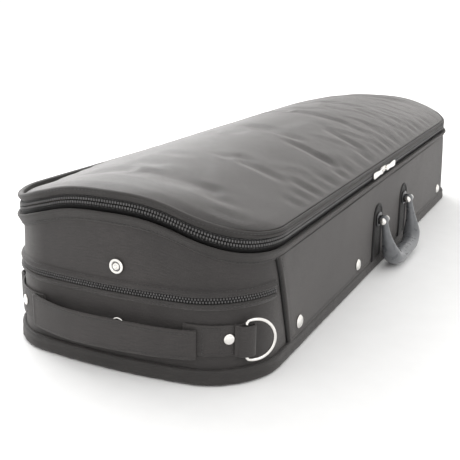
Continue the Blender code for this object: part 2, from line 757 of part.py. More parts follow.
def lid_layer(name, outer_offset, thick, rim, drop, depth, material):
    """One bowl-shaped layer of the lid: a wall of one thickness and a crowned top of another."""
    inner_offset = outer_offset - thick
    outer_wall = max(-outer_offset, 0.006)
    inner_wall = max(-inner_offset, 0.006)
    under = drop + depth
    loops = [crown_loop(inset, drop) for inset in reversed(CROWN_INSETS)]
    loops.append(crown_loop(outer_wall, drop + 0.0002))
    if outer_wall > -outer_offset:
        loops.append(rim_loop(outer_offset, 0.0004 - drop))
    loops.append(plan_loop(outer_offset, rim))
    loops.append(plan_loop(inner_offset, rim))
    if inner_wall > -inner_offset:
        loops.append(rim_loop(inner_offset, -0.0017 - drop))
    loops.append(crown_loop(inner_wall, under))
    loops += [crown_loop(inset, under) for inset in CROWN_INSETS]
    return capped_solid(name, loops, material, cap=crossed_cap)


def rim_loop(offset, lift):
    """A loop at the lid's rim, where a layer's wall turns into its crowned top."""
    loop = []
    for key in plan_keys():
        rim = level_at(key, rim_height)
        loop.append((*plan_point(key, rim, offset), rim + lift))
    return loop


def make_lid():
    edge = raised(edge_height, GAP)
    lid_layer("lid_cover", 0.0, SKIN, edge, 0.0, PAD, "nylon")
    lid_layer("lid_shell", SHELL_OUT, SHELL, raised(lip_height, SHELLS_MEET + 2 * GAP), PAD + GAP, SHELL, "shell_board")
    lining_drop = PAD + SHELL + 3 * GAP
    lid_layer("lid_lining", INNER_OUT - GAP, LINING, raised(lip_height, SHELLS_MEET + 0.0020), lining_drop, LINING,
              "plush")
    welt = ((GAP, -0.0014), (0.0034, -0.0014), (WELT_PROUD, -0.0004), (0.0042, 0.0008), (GAP, 0.0008))
    loops = [plan_loop(offset, raised(rim_height, lift)) for offset, lift in welt]
    ring_solid("lid_welt", loops, "nylon_trim")
    tape_low = raised(lip_height, ZIP_ABOVE_LIP + GAP)
    tape_high = raised(edge_height, -GAP)
    ring_solid("zipper_tape_upper", [
        plan_loop(-SKIN, tape_low), plan_loop(0.0, tape_low),
        plan_loop(0.0, tape_high), plan_loop(-SKIN, tape_high)], "zip_coil")


def under_lid(x, y):
    return crown_height(x, y) - PAD - SHELL - LINING - 4 * GAP


def make_bow_holders():
    """Turning bow clips at the scroll end of the lid, and cloth loops for the frogs."""
    for side, name in ((-1, "front"), (1, "back")):
        y = side * BOW_HALF_SPACING
        slope = math.atan(CROWN_HEIGHT * 2 * y / HALF_WIDTH ** 2)
        axis = Vector((0, -math.sin(slope), -math.cos(slope)))
        top = Vector((BOW_CLIP_X, y, under_lid(BOW_CLIP_X, y) - 0.0008))
        profile = [(0.0, 0.0070), (0.0020, 0.0070), (0.0025, 0.0040), (0.0100, 0.0040)]
        clip = turned(f"bow_clip_{name}", profile, top, axis, "bow_plastic", 14)
        arm_low, arm_high = 0.0095, 0.0135
        arm_x, arm_y = BOW_CLIP_ARM
        tilt = Vector((0, 0, 1)).rotation_difference(axis).to_matrix()
        loops = []
        for along in (arm_low, arm_high):
            spots = [(-arm_x, -arm_y), (arm_x, -arm_y), (arm_x, arm_y), (-arm_x, arm_y)]
            loops.append([tuple(tilt @ Vector((a, b, along)) + top) for a, b in spots])
        arm = capped_solid(f"clip_arm_{name}", loops, "bow_plastic", guide=True)
        boolean(clip, arm, "UNION")
        for thing in (clip, arm):
            set_origin(thing, top)
        make_bow_loop(name, y)


def make_bow_loop(name, y):
    """A cloth loop under the lid, open along the bow."""
    start, stop = BOW_LOOP_X
    half, wall, drop = BOW_LOOP_HALF, BOW_LOOP_WALL, BOW_LOOP_DROP
    top = under_lid(stop, abs(y) + half) - 0.0025
    outline = [(-half, top), (-half, top - drop), (half, top - drop), (half, top),
               (half - wall, top), (half - wall, top - drop + wall),
               (-half + wall, top - drop + wall), (-half + wall, top)]
    bridge_top = [(-half, top), (half, top), (half, top - wall), (-half, top - wall)]
    sections = [[(x, y + a, z) for a, z in outline] for x in (start, stop)]
    loop = capped_solid(f"bow_loop_{name}", sections, "plush")
    sections = [[(x, y + a, z) for a, z in bridge_top] for x in (start, stop)]
    lid = capped_solid(f"loop_top_{name}", sections, "plush", guide=True)
    boolean(loop, lid, "UNION")


# --- Hinges ----------------------------------------------------------------------------------------

def make_hinge(number, x):
    """A small butt hinge: a leaf on each half and a pin through three knuckles."""
    half, inner = LEAF_HALF, KNUCKLE_HALF
    back = HALF_WIDTH + GAP
    face = back + LEAF_THICK
    lower = box_solid(f"hinge_leaf_base_{number}", (x - half, back, HINGE_Z - LEAF_HEIGHT),
                      (x + half, face, HINGE_Z - GAP), "hinge_steel")
    upper = box_solid(f"hinge_leaf_lid_{number}", (x - half, back, HINGE_Z + GAP),
                      (x + half, face, HINGE_Z + LEAF_HEIGHT), "hinge_steel")
    spans = [(lower, x - half, x - inner - GAP, -1), (lower, x + inner + GAP, x + half, -1),
             (upper, x - inner, x + inner, 1)]
    for index, (leaf, low, high, way) in enumerate(spans):
        knuckle = turned(f"knuckle_{number}_{index}", [(low, KNUCKLE_R), (high, KNUCKLE_R)],
                         (0, HINGE_Y, HINGE_Z), (1, 0, 0), "hinge_steel", 14, guide=True)
        near, away = HINGE_Z + way * 0.0006, HINGE_Z + way * 0.0018
        web = box_solid(f"web_{number}_{index}", (low, back + 0.0003, min(near, away)),
                        (high, HINGE_Y - 0.0006, max(near, away)), "hinge_steel", guide=True)
        boolean(leaf, web, "UNION")
        boolean(leaf, knuckle, "UNION")
    bore = turned(f"pin_bore_{number}", [(x - 2 * half, PIN_R + PIN_PLAY), (x + 2 * half, PIN_R + PIN_PLAY)],
                  (0, HINGE_Y, HINGE_Z), (1, 0, 0), "hinge_steel", 14, guide=True)
    for leaf in (lower, upper):
        boolean(leaf, bore, "DIFFERENCE")
    profile = [(-half - 0.0012, 0.0016), (-half - GAP, PIN_HEAD_R), (-half - GAP, PIN_R),
               (half + GAP, PIN_R), (half + GAP, PIN_HEAD_R), (half + 0.0012, 0.0016)]
    turned(f"hinge_pin_{number}", profile, (x, HINGE_Y, HINGE_Z), (1, 0, 0), "hinge_steel", 14)


def build():
    clear_scene()
    make_base()
    make_bed()
    make_neck_support()
    make_front_panel()
    make_studs()
    make_handle_tabs()
    make_handle()
    make_end_fittings()
    make_sliders()
    make_lid()
    make_bow_holders()
    for number, x in enumerate(HINGE_XS, start=1):
        make_hinge(number, x)


build()
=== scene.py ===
"""The looks of the oblong violin case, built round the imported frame.

Units are metres in the part's own frame: +X along the case away from its pocket end, the handle
side at -Y, the hinge side at +Y, +Z up, and the origin at the centre of the bottom face.
"""
import json
import math

import bmesh
import bpy
import numpy as np
from mathutils import Matrix, Vector, noise

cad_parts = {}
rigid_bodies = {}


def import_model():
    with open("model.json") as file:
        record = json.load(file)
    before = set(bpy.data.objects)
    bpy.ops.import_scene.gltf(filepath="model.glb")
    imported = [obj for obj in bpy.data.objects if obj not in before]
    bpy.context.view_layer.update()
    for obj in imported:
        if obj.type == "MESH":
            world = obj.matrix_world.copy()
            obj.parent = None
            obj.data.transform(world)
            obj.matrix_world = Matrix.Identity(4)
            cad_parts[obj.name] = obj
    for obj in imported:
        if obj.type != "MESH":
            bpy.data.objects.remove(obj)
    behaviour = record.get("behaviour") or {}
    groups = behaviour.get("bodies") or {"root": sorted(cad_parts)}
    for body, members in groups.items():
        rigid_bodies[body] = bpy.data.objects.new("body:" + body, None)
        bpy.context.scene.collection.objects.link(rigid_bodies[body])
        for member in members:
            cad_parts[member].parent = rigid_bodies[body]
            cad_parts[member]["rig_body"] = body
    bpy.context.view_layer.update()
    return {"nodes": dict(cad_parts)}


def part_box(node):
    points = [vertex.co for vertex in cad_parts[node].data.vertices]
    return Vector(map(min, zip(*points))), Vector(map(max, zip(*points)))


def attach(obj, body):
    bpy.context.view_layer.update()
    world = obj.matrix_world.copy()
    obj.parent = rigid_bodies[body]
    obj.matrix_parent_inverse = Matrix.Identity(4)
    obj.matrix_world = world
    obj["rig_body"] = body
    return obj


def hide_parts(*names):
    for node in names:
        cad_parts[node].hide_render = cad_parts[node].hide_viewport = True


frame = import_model()

# The plan of the case and its heights, as in the solids
HALF_WIDTH = 0.128
END_BOW = 0.015
HALF_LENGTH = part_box("base_bottom_panel")[1].x - END_BOW
CORNER_R_BOTTOM = 0.051
CORNER_R_SLOPE = (0.075, 0.36)
LIP_FRONT = 0.112
LIP_BACK_RAISE = 0.005
RISE = (0.030, 0.015)
RISE_POWER = 1.43
BACK_RAISE_FADE = (0.10, -0.33)
RIM_ABOVE_LIP = (0.0165, 0.0190)
CROWN_BACK_DROP = 0.45
CROWN_BASE = 0.1245
CROWN_HEIGHT = 0.043
CROWN_SHARES = (0.87, 0.50)

# Sampling of the plan
SIDE_STEPS = 160
CORNER_STEPS = 26
END_STEPS = 48

# Zip and stitching
TOOTH_PITCH = 0.0026
ZIP_OUT = 0.0021
MAIN_TOOTH = (0.0014, 0.00078, 0.0009)
POCKET_TOOTH = (0.0012, 0.00074, 0.0009)
STITCH = 0.0027
STITCH_GAP = 0.0011
THREAD = 0.00027

# Fittings
HANDLE_PIVOT = Vector((0.017, -0.1395, 0.062))
HANDLE_HALF_SPAN = 0.0575
HANDLE_DROP = 0.0540
HANDLE_LEAN = math.radians(12.0)
WEB_Z = 0.040
STRAP_END = 0.0805
TAB_OUT = 0.0015
TAB_WEB = 0.0016
TAB_HALF = 0.0138
RIVET_S = {1: 0.108, -1: 0.1005}
RING_S = {1: 0.1215, -1: 0.1495}
RING_PIVOT = {"front": (-0.37654, -0.11705, WEB_Z), "back": (-0.3502, 0.13075, WEB_Z)}
RING_LIE = {"front": (0.6851, -0.7284, 0.0), "back": (0.9886, 0.1503, 0.0)}
RING_RADIUS = 0.0182
RING_REACH = 0.0254
POCKET_ZIP_Z = 0.0757
PANEL_THICK = 0.0032

# The padded top
PUFF = 0.0010
CREASE_DEPTH = 0.5
SETTLE_CAP = 0.0016
SETTLE_FRAMES = 20
SETTLE_STEP = 3
SETTLE_PRESSURE = 4.0
SEAM_SINK = 0.0058
RIB_PITCH = 0.0031


# --- Plan of the case -----------------------------------------------------------------------------

def make_plan():
    """Every sample of the plan, anticlockwise from the front's -X end: kind, end, side, share."""
    keys = []
    keys += [(0, 0, -1, -1 + 2 * i / SIDE_STEPS) for i in range(SIDE_STEPS)]
    keys += [(1, 1, -1, 1 - i / CORNER_STEPS) for i in range(CORNER_STEPS)]
    keys += [(2, 1, 0, -1 + 2 * i / END_STEPS) for i in range(END_STEPS)]
    keys += [(1, 1, 1, i / CORNER_STEPS) for i in range(CORNER_STEPS)]
    keys += [(0, 0, 1, 1 - 2 * i / SIDE_STEPS) for i in range(SIDE_STEPS)]
    keys += [(1, -1, 1, 1 - i / CORNER_STEPS) for i in range(CORNER_STEPS)]
    keys += [(2, -1, 0, 1 - 2 * i / END_STEPS) for i in range(END_STEPS)]
    keys += [(1, -1, -1, i / CORNER_STEPS) for i in range(CORNER_STEPS)]
    return np.array(keys, float)


PLAN = make_plan()
COUNT = len(PLAN)


def plan_xy(z, offset=0.0, plan=None):
    """Plan positions at height z, moved out by offset along the normal; both may be arrays."""
    plan = PLAN if plan is None else plan
    kind, end, side, share = plan.T
    z = np.broadcast_to(np.asarray(z, float), kind.shape)
    offset = np.broadcast_to(np.asarray(offset, float), kind.shape)
    near = CORNER_R_BOTTOM + CORNER_R_SLOPE[0] * z
    far = CORNER_R_BOTTOM + CORNER_R_SLOPE[1] * z
    radius = np.where(end < 0, near, far)
    low, high = -(HALF_LENGTH - near), HALF_LENGTH - far
    centre_y = HALF_WIDTH - radius
    side_x = low + (high - low) * (share + 1) / 2
    side_y = side * (HALF_WIDTH + offset)
    end_y = share * centre_y
    end_x = end * (HALF_LENGTH + offset + END_BOW * (1 - (end_y / HALF_WIDTH) ** 2))
    angle = share * math.pi / 2
    bare_y = centre_y + radius * np.sin(angle)
    arc_x = HALF_LENGTH - radius + (radius + offset) * np.cos(angle)
    arc_x = end * (arc_x + END_BOW * np.cos(angle) * (1 - (bare_y / HALF_WIDTH) ** 2))
    arc_y = side * (centre_y + (radius + offset) * np.sin(angle))
    x = np.where(kind == 0, side_x, np.where(kind == 1, arc_x, end_x))
    y = np.where(kind == 0, side_y, np.where(kind == 1, arc_y, end_y))
    return x, y


def end_share(x):
    return np.clip((x + HALF_LENGTH) / (2 * HALF_LENGTH), 0.0, 1.0)


def lip_height(x, y):
    across = np.minimum(np.abs(y) / HALF_WIDTH, 1.0)
    rise = RISE[0] + (RISE[1] - RISE[0]) * end_share(x)
    arch = 0.5 * (1 + np.cos(np.pi * across ** RISE_POWER))
    return LIP_FRONT + rise * arch + LIP_BACK_RAISE * backness(y) * back_fade(x)


def backness(y):
    return np.clip((y - 0.06) / 0.06, 0.0, 1.0)


def back_fade(x):
    start, stop = BACK_RAISE_FADE
    return np.clip((x - start) / (stop - start), 0.0, 1.0)


def rim_height(x, y):
    front = np.clip((y + HALF_WIDTH) / 0.02, 0.0, 1.0)
    end = front * (1 - backness(y) * (1 - back_fade(x)))
    return lip_height(x, y) + RIM_ABOVE_LIP[0] + (RIM_ABOVE_LIP[1] - RIM_ABOVE_LIP[0]) * end


def crown_height(x, y):
    share = end_share(x)
    near = CROWN_SHARES[0] + (1 - CROWN_SHARES[0]) * np.minimum(share / 0.16, 1.0)
    far = 1 - (1 - CROWN_SHARES[1]) * np.maximum((share - 0.55) / 0.45, 0.0) ** 1.6
    across = np.minimum(np.abs(y) / HALF_WIDTH, 1.0)
    arch = 1 - across ** 2 - (y > 0) * CROWN_BACK_DROP * across ** 2 * (1 - across)
    return CROWN_BASE + CROWN_HEIGHT * np.minimum(near, far) * arch


def levels(height, plan=None):
    """The heights round the plan, which itself depends a little on the height."""
    z = np.full(len(PLAN if plan is None else plan), LIP_FRONT)
    for _ in range(5):
        z = height(*plan_xy(z, 0.0, plan))
    return z


LIP = levels(lip_height)
RIM = levels(rim_height)
LOOP_X, LOOP_Y = plan_xy(0.09)
STEP = np.hypot(np.roll(LOOP_X, -1) - LOOP_X, np.roll(LOOP_Y, -1) - LOOP_Y)
RUN = np.concatenate([[0.0], np.cumsum(STEP)])


# --- Mesh helpers ---------------------------------------------------------------------------------

def grid_object(name, points, uv=None, close_u=False, close_v=False, flip=False):
    """A mesh from a grid of points, rows by columns; close_u joins the last column to the first."""
    points = np.asarray(points, float)
    rows, columns = points.shape[:2]
    mesh = bpy.data.meshes.new(name)
    quads = []
    spots = []
    for row in range(rows if close_v else rows - 1):
        for column in range(columns if close_u else columns - 1):
            after, above = (column + 1) % columns, (row + 1) % rows
            quad = (row * columns + column, row * columns + after, above * columns + after,
                    above * columns + column)
            spot = ((row, column), (row, column + 1), (row + 1, column + 1), (row + 1, column))
            quads.append(quad[::-1] if flip else quad)
            spots.append(spot[::-1] if flip else spot)
    mesh.from_pydata(points.reshape(-1, 3).tolist(), [], quads)
    if uv is not None:
        layer = mesh.uv_layers.new(name="UVMap")
        flat = []
        for spot in spots:
            for row, column in spot:
                flat += [uv[0][column], uv[1][row]]
        layer.data.foreach_set("uv", np.array(flat, np.float32))
    mesh.shade_smooth()
    mesh.update()
    thing = bpy.data.objects.new(name, mesh)
    bpy.context.scene.collection.objects.link(thing)
    return thing


def bumps(x, y, z, seed=0.0):
    """Smooth noise from -1 to 1 at each point, with coordinates already scaled."""
    x, y, z = np.broadcast_arrays(x, y, z)
    spots = zip(x.ravel(), y.ravel(), z.ravel())
    flat = [noise.noise(Vector((a + seed, b + 7.3 * seed, c))) for a, b, c in spots]
    return np.array(flat).reshape(x.shape)


def place(thing, body, slot, material, *nodes):
    """Finishes a piece: its body, material and the solids that it stands for; slot is not used."""
    if material is not None:
        thing.data.materials.clear()
        thing.data.materials.append(material)
    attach(thing, body)
    if nodes:
        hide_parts(*nodes)
    return thing


def picked(value, chosen):
    """A value round the loop, or one number, for the chosen stations."""
    value = np.asarray(value, float)
    return value[chosen] if value.ndim else np.full(len(chosen), float(value))


def band(name, profile, indexes=None, lift=None):
    """A strip round the case; profile rows are (offset, base heights, height above them)."""
    chosen = np.arange(COUNT) if indexes is None else np.asarray(indexes)
    plan = PLAN[chosen]
    rows = []
    run_v = [0.0]
    for number, (offset, base, above) in enumerate(profile):
        bare = picked(base, chosen)
        z = bare + picked(above, chosen)
        x, y = plan_xy(bare if lift else z, picked(offset, chosen), plan)
        rows.append(np.stack([x, y, z], 1))
        if number:
            run_v.append(run_v[-1] + float(np.linalg.norm(rows[-1] - rows[-2], axis=1).mean()))
    run_u = RUN[chosen] if indexes is not None else RUN
    return grid_object(name, np.array(rows), (run_u, run_v), close_u=indexes is None)


def round_bar(points, radius, sides=8, closed=False, flat=1.0, up=None):
    """Grid points of a tube along points; flat squeezes it along its second direction."""
    points = np.asarray(points, float)
    count = len(points)
    radius = np.broadcast_to(np.asarray(radius, float), (count,))
    if closed:
        along = np.roll(points, -1, 0) - np.roll(points, 1, 0)
    else:
        along = np.gradient(points, axis=0)
    along /= np.linalg.norm(along, axis=1)[:, None]
    reference = np.array(up if up is not None else (0.0, 0.0, 1.0), float)
    first = np.cross(along, reference)
    weak = np.linalg.norm(first, axis=1) < 1e-4
    first[weak] = np.cross(along[weak], (0.0, 1.0, 0.0))
    first /= np.linalg.norm(first, axis=1)[:, None]
    second = np.cross(first, along)
    rows = []
    for side in range(sides):
        angle = 2 * math.pi * side / sides
        rows.append(points + radius[:, None] * (math.cos(angle) * first + flat * math.sin(angle) * second))
    return np.array(rows)


def tube_object(name, points, radius, sides=10, closed=False, flat=1.0, up=None):
    rows = round_bar(points, radius, sides, closed, flat, up)
    thing = grid_object(name, rows, close_v=True, close_u=closed)
    if not closed:
        cap_ends(thing)
    return thing


def cap_ends(thing):
    """Fills the open ends and turns every face outwards."""
    shape = bmesh.new()
    shape.from_mesh(thing.data)
    edges = [edge for edge in shape.edges if edge.is_boundary]
    if edges:
        bmesh.ops.holes_fill(shape, edges=edges, sides=0)
    bmesh.ops.recalc_face_normals(shape, faces=shape.faces)
    shape.to_mesh(thing.data)
    shape.free()


def turned_points(profile, steps=40):
    """Grid points of a solid of revolution about +Z; profile is (radius, height)."""
    rows = []
    for radius, height in profile:
        angles = np.arange(steps) * 2 * math.pi / steps
        rows.append(np.stack([radius * np.cos(angles), radius * np.sin(angles), np.full(steps, height)], 1))
    return np.array(rows)


def turned_object(name, profile, spot, axis, steps=40):
    thing = grid_object(name, turned_points(profile, steps), close_u=True)
    cap_ends(thing)
    turn = Vector((0, 0, 1)).rotation_difference(Vector(axis).normalized()).to_matrix().to_4x4()
    thing.data.transform(Matrix.Translation(Vector(spot)) @ turn)
    return thing


def grain(size, rings, sides):
    """Points and faces of one rounded grain."""
    points = [(-1.0, 0.0, 0.0)]
    for ring in range(rings):
        reach = -0.6 + 1.2 * ring / (rings - 1)
        for side in range(sides):
            angle = 2 * math.pi * side / sides
            points.append((reach, math.cos(angle), math.sin(angle)))
    points.append((1.0, 0.0, 0.0))
    faces = []
    for side in range(sides):
        after = (side + 1) % sides
        faces.append((0, 1 + after, 1 + side))
        for ring in range(rings - 1):
            low, high = 1 + ring * sides, 1 + (ring + 1) * sides
            faces.append((low + side, low + after, high + after, high + side))
        top = 1 + (rings - 1) * sides
        faces.append((top + side, top + after, len(points) - 1))
    return np.array(points) * np.array(size), faces


def seeds_object(name, spots, alongs, ups, size, rings=2, sides=6):
    """Many small rounded grains, such as stitches or zip teeth, as one mesh.

    size is (half length, half width, half height) along each grain's along, across and up.
    """
    base, faces = grain(size, rings, sides)
    alongs = np.asarray(alongs, float)
    alongs = alongs / np.linalg.norm(alongs, axis=1)[:, None]
    across = np.cross(np.asarray(ups, float), alongs)
    across /= np.linalg.norm(across, axis=1)[:, None]
    axes = (alongs, across, np.cross(alongs, across))
    points = np.asarray(spots, float)[:, None, :]
    for number, axis in enumerate(axes):
        points = points + base[None, :, number:number + 1] * axis[:, None, :]
    everything = []
    for number in range(len(spots)):
        shift = number * len(base)
        everything += [tuple(corner + shift for corner in face) for face in faces]
    mesh = bpy.data.meshes.new(name)
    mesh.from_pydata(points.reshape(-1, 3).tolist(), [], everything)
    mesh.shade_smooth()
    mesh.update()
    thing = bpy.data.objects.new(name, mesh)
    bpy.context.scene.collection.objects.link(thing)
    return thing


def walk(points, pitch, closed=False, start=0.0):
    """Evenly spaced spots along a line, with the direction at each."""
    points = np.asarray(points, float)
    if closed:
        points = np.vstack([points, points[:1]])
    steps = np.linalg.norm(np.diff(points, axis=0), axis=1)
    run = np.concatenate([[0.0], np.cumsum(steps)])
    wanted = np.arange(start, run[-1], pitch)
    spots = np.stack([np.interp(wanted, run, points[:, axis]) for axis in range(3)], 1)
    ahead = np.stack([np.interp(np.minimum(wanted + 0.0008, run[-1]), run,
                                points[:, a]) for a in range(3)], 1)
    behind = np.stack([np.interp(np.maximum(wanted - 0.0008, 0.0), run, points[:, a]) for a in range(3)], 1)
    return spots, ahead - behind


def loop_line(offset, base, above, indexes=None):
    chosen = np.arange(COUNT) if indexes is None else np.asarray(indexes)
    bare = picked(base, chosen)
    x, y = plan_xy(bare + above, picked(offset, chosen), PLAN[chosen])
    return np.stack([x, y, bare + above], 1)


def stitches(name, lines, normal=None, closed=False):
    """Thread stitches along one or more lines on the walls."""
    spots, alongs, ups = [], [], []
    for line in lines:
        some, way = walk(line, STITCH + STITCH_GAP, closed, 0.0012)
        spots.append(some)
        alongs.append(way)
        if normal is None:
            out = np.cross(way, (0.0, 0.0, 1.0))
            out[:, 2] = 0.0
            out += 1e-9
        else:
            out = np.broadcast_to(np.asarray(normal, float), way.shape)
        ups.append(out)
    return seeds_object(name, np.vstack(spots), np.vstack(alongs), np.vstack(ups),
                        (STITCH / 2, THREAD, THREAD * 0.8))


# --- Materials ------------------------------------------------------------------------------------

def new_material(name):
    material = bpy.data.materials.new(name)
    material.use_nodes = True
    tree = material.node_tree
    shader = tree.nodes["Principled BSDF"]
    return material, tree, shader


def link(tree, source, target):
    tree.links.new(source, target)


def add_node(tree, kind, **values):
    node = tree.nodes.new(kind)
    for key, value in values.items():
        setattr(node, key, value)
    return node


def coordinates(tree, use_uv, scale):
    """Texture coordinates in units of 1/scale metres: the cloth's own run, or the part's frame."""
    source = add_node(tree, "ShaderNodeTexCoord")
    mapping = add_node(tree, "ShaderNodeMapping")
    mapping.inputs["Scale"].default_value = (scale, scale, scale)
    link(tree, source.outputs["UV" if use_uv else "Object"], mapping.inputs["Vector"])
    return mapping.outputs["Vector"]


def stretched(tree, use_uv):
    """Coordinates drawn out along the cloth, for slubs in the yarn."""
    mapping = add_node(tree, "ShaderNodeMapping")
    mapping.inputs["Scale"].default_value = (0.10, 0.9, 0.6)
    link(tree, coordinates(tree, use_uv, 1000.0), mapping.inputs["Vector"])
    return mapping.outputs["Vector"]


def noise_node(tree, vector, scale, detail=3.0, roughness=0.55):
    node = add_node(tree, "ShaderNodeTexNoise")
    node.inputs["Scale"].default_value = scale
    node.inputs["Detail"].default_value = detail
    node.inputs["Roughness"].default_value = roughness
    link(tree, vector, node.inputs["Vector"])
    return node.outputs["Fac"]


def ramp(tree, value, stops):
    node = add_node(tree, "ShaderNodeValToRGB")
    elements = node.color_ramp.elements
    while len(elements) < len(stops):
        elements.new(0.5)
    for element, (position, colour) in zip(elements, stops):
        element.position = position
        element.color = (*colour, 1.0)
    link(tree, value, node.inputs["Fac"])
    return node.outputs["Color"]


def math_node(tree, operation, first, second=None):
    node = add_node(tree, "ShaderNodeMath", operation=operation)
    for socket, value in zip(node.inputs, (first, second)):
        if value is None:
            continue
        if isinstance(value, (int, float)):
            socket.default_value = value
        else:
            link(tree, value, socket)
    return node.outputs[0]


def bump_node(tree, height, strength, distance, under=None):
    node = add_node(tree, "ShaderNodeBump")
    node.inputs["Strength"].default_value = strength
    node.inputs["Distance"].default_value = distance
    link(tree, height, node.inputs["Height"])
    if under is not None:
        link(tree, under, node.inputs["Normal"])
    return node.outputs["Normal"]


def wave_node(tree, vector, direction, period_mm):
    """Threads side by side along one direction, for coordinates in millimetres."""
    node = add_node(tree, "ShaderNodeTexWave", bands_direction=direction)
    node.inputs["Scale"].default_value = 2 * math.pi / (20 * period_mm)
    node.inputs["Distortion"].default_value = 0.35
    node.inputs["Detail"].default_value = 1.0
    node.inputs["Detail Scale"].default_value = 0.6
    link(tree, vector, node.inputs["Vector"])
    return node.outputs["Fac"]


def scaled(colour, factor):
    return tuple(min(part * factor, 1.0) for part in colour)


def paint(tree, shader, value, colour, *stops):
    """Colours the surface by value; stops are (place, share of the colour)."""
    tones = [(position, scaled(colour, share)) for position, share in stops]
    link(tree, ramp(tree, value, tones), shader.inputs["Base Color"])


def cloth_material(name, colour, use_uv=True, thread_mm=0.55, sheen=0.35, roughness=0.62,
                   weave=0.5, ribbed=False, gloss=0.4):
    """Woven nylon: threads that cross, uneven yarn, soft mottling and a little wear."""
    material, tree, shader = new_material(name)
    fine = coordinates(tree, use_uv, 1000.0)
    broad = coordinates(tree, False, 1.0)
    warp = wave_node(tree, fine, "X", thread_mm)
    weft = wave_node(tree, fine, "Y", thread_mm * (2.2 if ribbed else 1.0))
    crossing = math_node(tree, "MULTIPLY", warp, weft)
    if ribbed:
        crossing = math_node(tree, "MAXIMUM", weft, math_node(tree, "MULTIPLY", warp, 0.5))
    yarn = noise_node(tree, fine, 0.9, 2.0)
    mottle = noise_node(tree, broad, 26.0, 5.0, 0.6)
    patches = noise_node(tree, broad, 7.0, 2.0)
    mixed = math_node(tree, "MULTIPLY", math_node(tree, "ADD", mottle, patches), 0.5)
    streaks = noise_node(tree, stretched(tree, use_uv), 1.0, 3.0)
    for worn, share in ((yarn, 0.75), (streaks, 0.55)):
        mixed = math_node(tree, "ADD", mixed,
                          math_node(tree, "MULTIPLY", math_node(tree, "SUBTRACT", worn, 0.5), share))
    paint(tree, shader, mixed, colour, (0.26, 0.62), (0.52, 1.0), (0.80, 1.55))
    rough = add_node(tree, "ShaderNodeMapRange")
    rough.inputs["To Min"].default_value = roughness - 0.08
    rough.inputs["To Max"].default_value = roughness + 0.10
    link(tree, mottle, rough.inputs["Value"])
    link(tree, rough.outputs["Result"], shader.inputs["Roughness"])
    soft = bump_node(tree, mottle, 0.35, 0.0012)
    link(tree, bump_node(tree, crossing, weave, 0.00022, soft), shader.inputs["Normal"])
    shader.inputs["Sheen Weight"].default_value = sheen
    shader.inputs["Sheen Roughness"].default_value = 0.45
    shader.inputs["Sheen Tint"].default_value = (0.95, 0.92, 0.90, 1.0)
    shader.inputs["Specular IOR Level"].default_value = gloss
    return material


def thread_material(name, colour):
    material, tree, shader = new_material(name)
    fine = coordinates(tree, False, 1000.0)
    twist = noise_node(tree, fine, 1.4, 2.0)
    paint(tree, shader, twist, colour, (0.3, 0.7), (0.7, 1.3))
    link(tree, bump_node(tree, twist, 0.4, 0.0001), shader.inputs["Normal"])
    shader.inputs["Roughness"].default_value = 0.45
    shader.inputs["Sheen Weight"].default_value = 0.25
    return material


def metal_material(name, colour, roughness=0.16):
    """Plated metal with fine handling scratches and slightly uneven gloss."""
    material, tree, shader = new_material(name)
    vector = coordinates(tree, False, 1000.0)
    haze = noise_node(tree, vector, 0.35, 4.0)
    scratch = noise_node(tree, vector, 3.0, 6.0, 0.7)
    rough = add_node(tree, "ShaderNodeMapRange")
    rough.inputs["To Min"].default_value = roughness * 0.7
    rough.inputs["To Max"].default_value = roughness * 1.7
    link(tree, haze, rough.inputs["Value"])
    link(tree, rough.outputs["Result"], shader.inputs["Roughness"])
    paint(tree, shader, haze, colour, (0.3, 0.9), (0.7, 1.0))
    link(tree, bump_node(tree, scratch, 0.06, 0.0001), shader.inputs["Normal"])
    shader.inputs["Metallic"].default_value = 1.0
    return material


def plastic_material(name, colour, roughness=0.32, grain=0.25):
    """Moulded plastic with a fine grain and faint rub marks."""
    material, tree, shader = new_material(name)
    vector = coordinates(tree, False, 1000.0)
    texture = noise_node(tree, vector, 1.1, 3.0)
    rub = noise_node(tree, vector, 0.12, 3.0)
    paint(tree, shader, rub, colour, (0.3, 0.85), (0.7, 1.2))
    rough = add_node(tree, "ShaderNodeMapRange")
    rough.inputs["To Min"].default_value = roughness - 0.06
    rough.inputs["To Max"].default_value = roughness + 0.12
    link(tree, rub, rough.inputs["Value"])
    link(tree, rough.outputs["Result"], shader.inputs["Roughness"])
    link(tree, bump_node(tree, texture, grain, 0.0002), shader.inputs["Normal"])
    shader.inputs["Coat Weight"].default_value = 0.15
    shader.inputs["Coat Roughness"].default_value = 0.25
    return material


def plush_material(name, colour):
    """Short-pile plush: a fine nap, brushed patches and a strong sheen."""
    material, tree, shader = new_material(name)
    fine = coordinates(tree, False, 1000.0)
    broad = coordinates(tree, False, 1.0)
    pile = noise_node(tree, fine, 1.3, 3.0, 0.7)
    brushed = noise_node(tree, broad, 30.0, 4.0)
    mixed = math_node(tree, "MULTIPLY", math_node(tree, "ADD", pile, brushed), 0.5)
    paint(tree, shader, mixed, colour, (0.3, 0.6), (0.7, 1.3))
    link(tree, bump_node(tree, pile, 0.7, 0.0006), shader.inputs["Normal"])
    shader.inputs["Roughness"].default_value = 0.85
    shader.inputs["Sheen Weight"].default_value = 0.8
    shader.inputs["Sheen Roughness"].default_value = 0.35
    shader.inputs["Sheen Tint"].default_value = (0.9, 0.35, 0.4, 1.0)
    return material


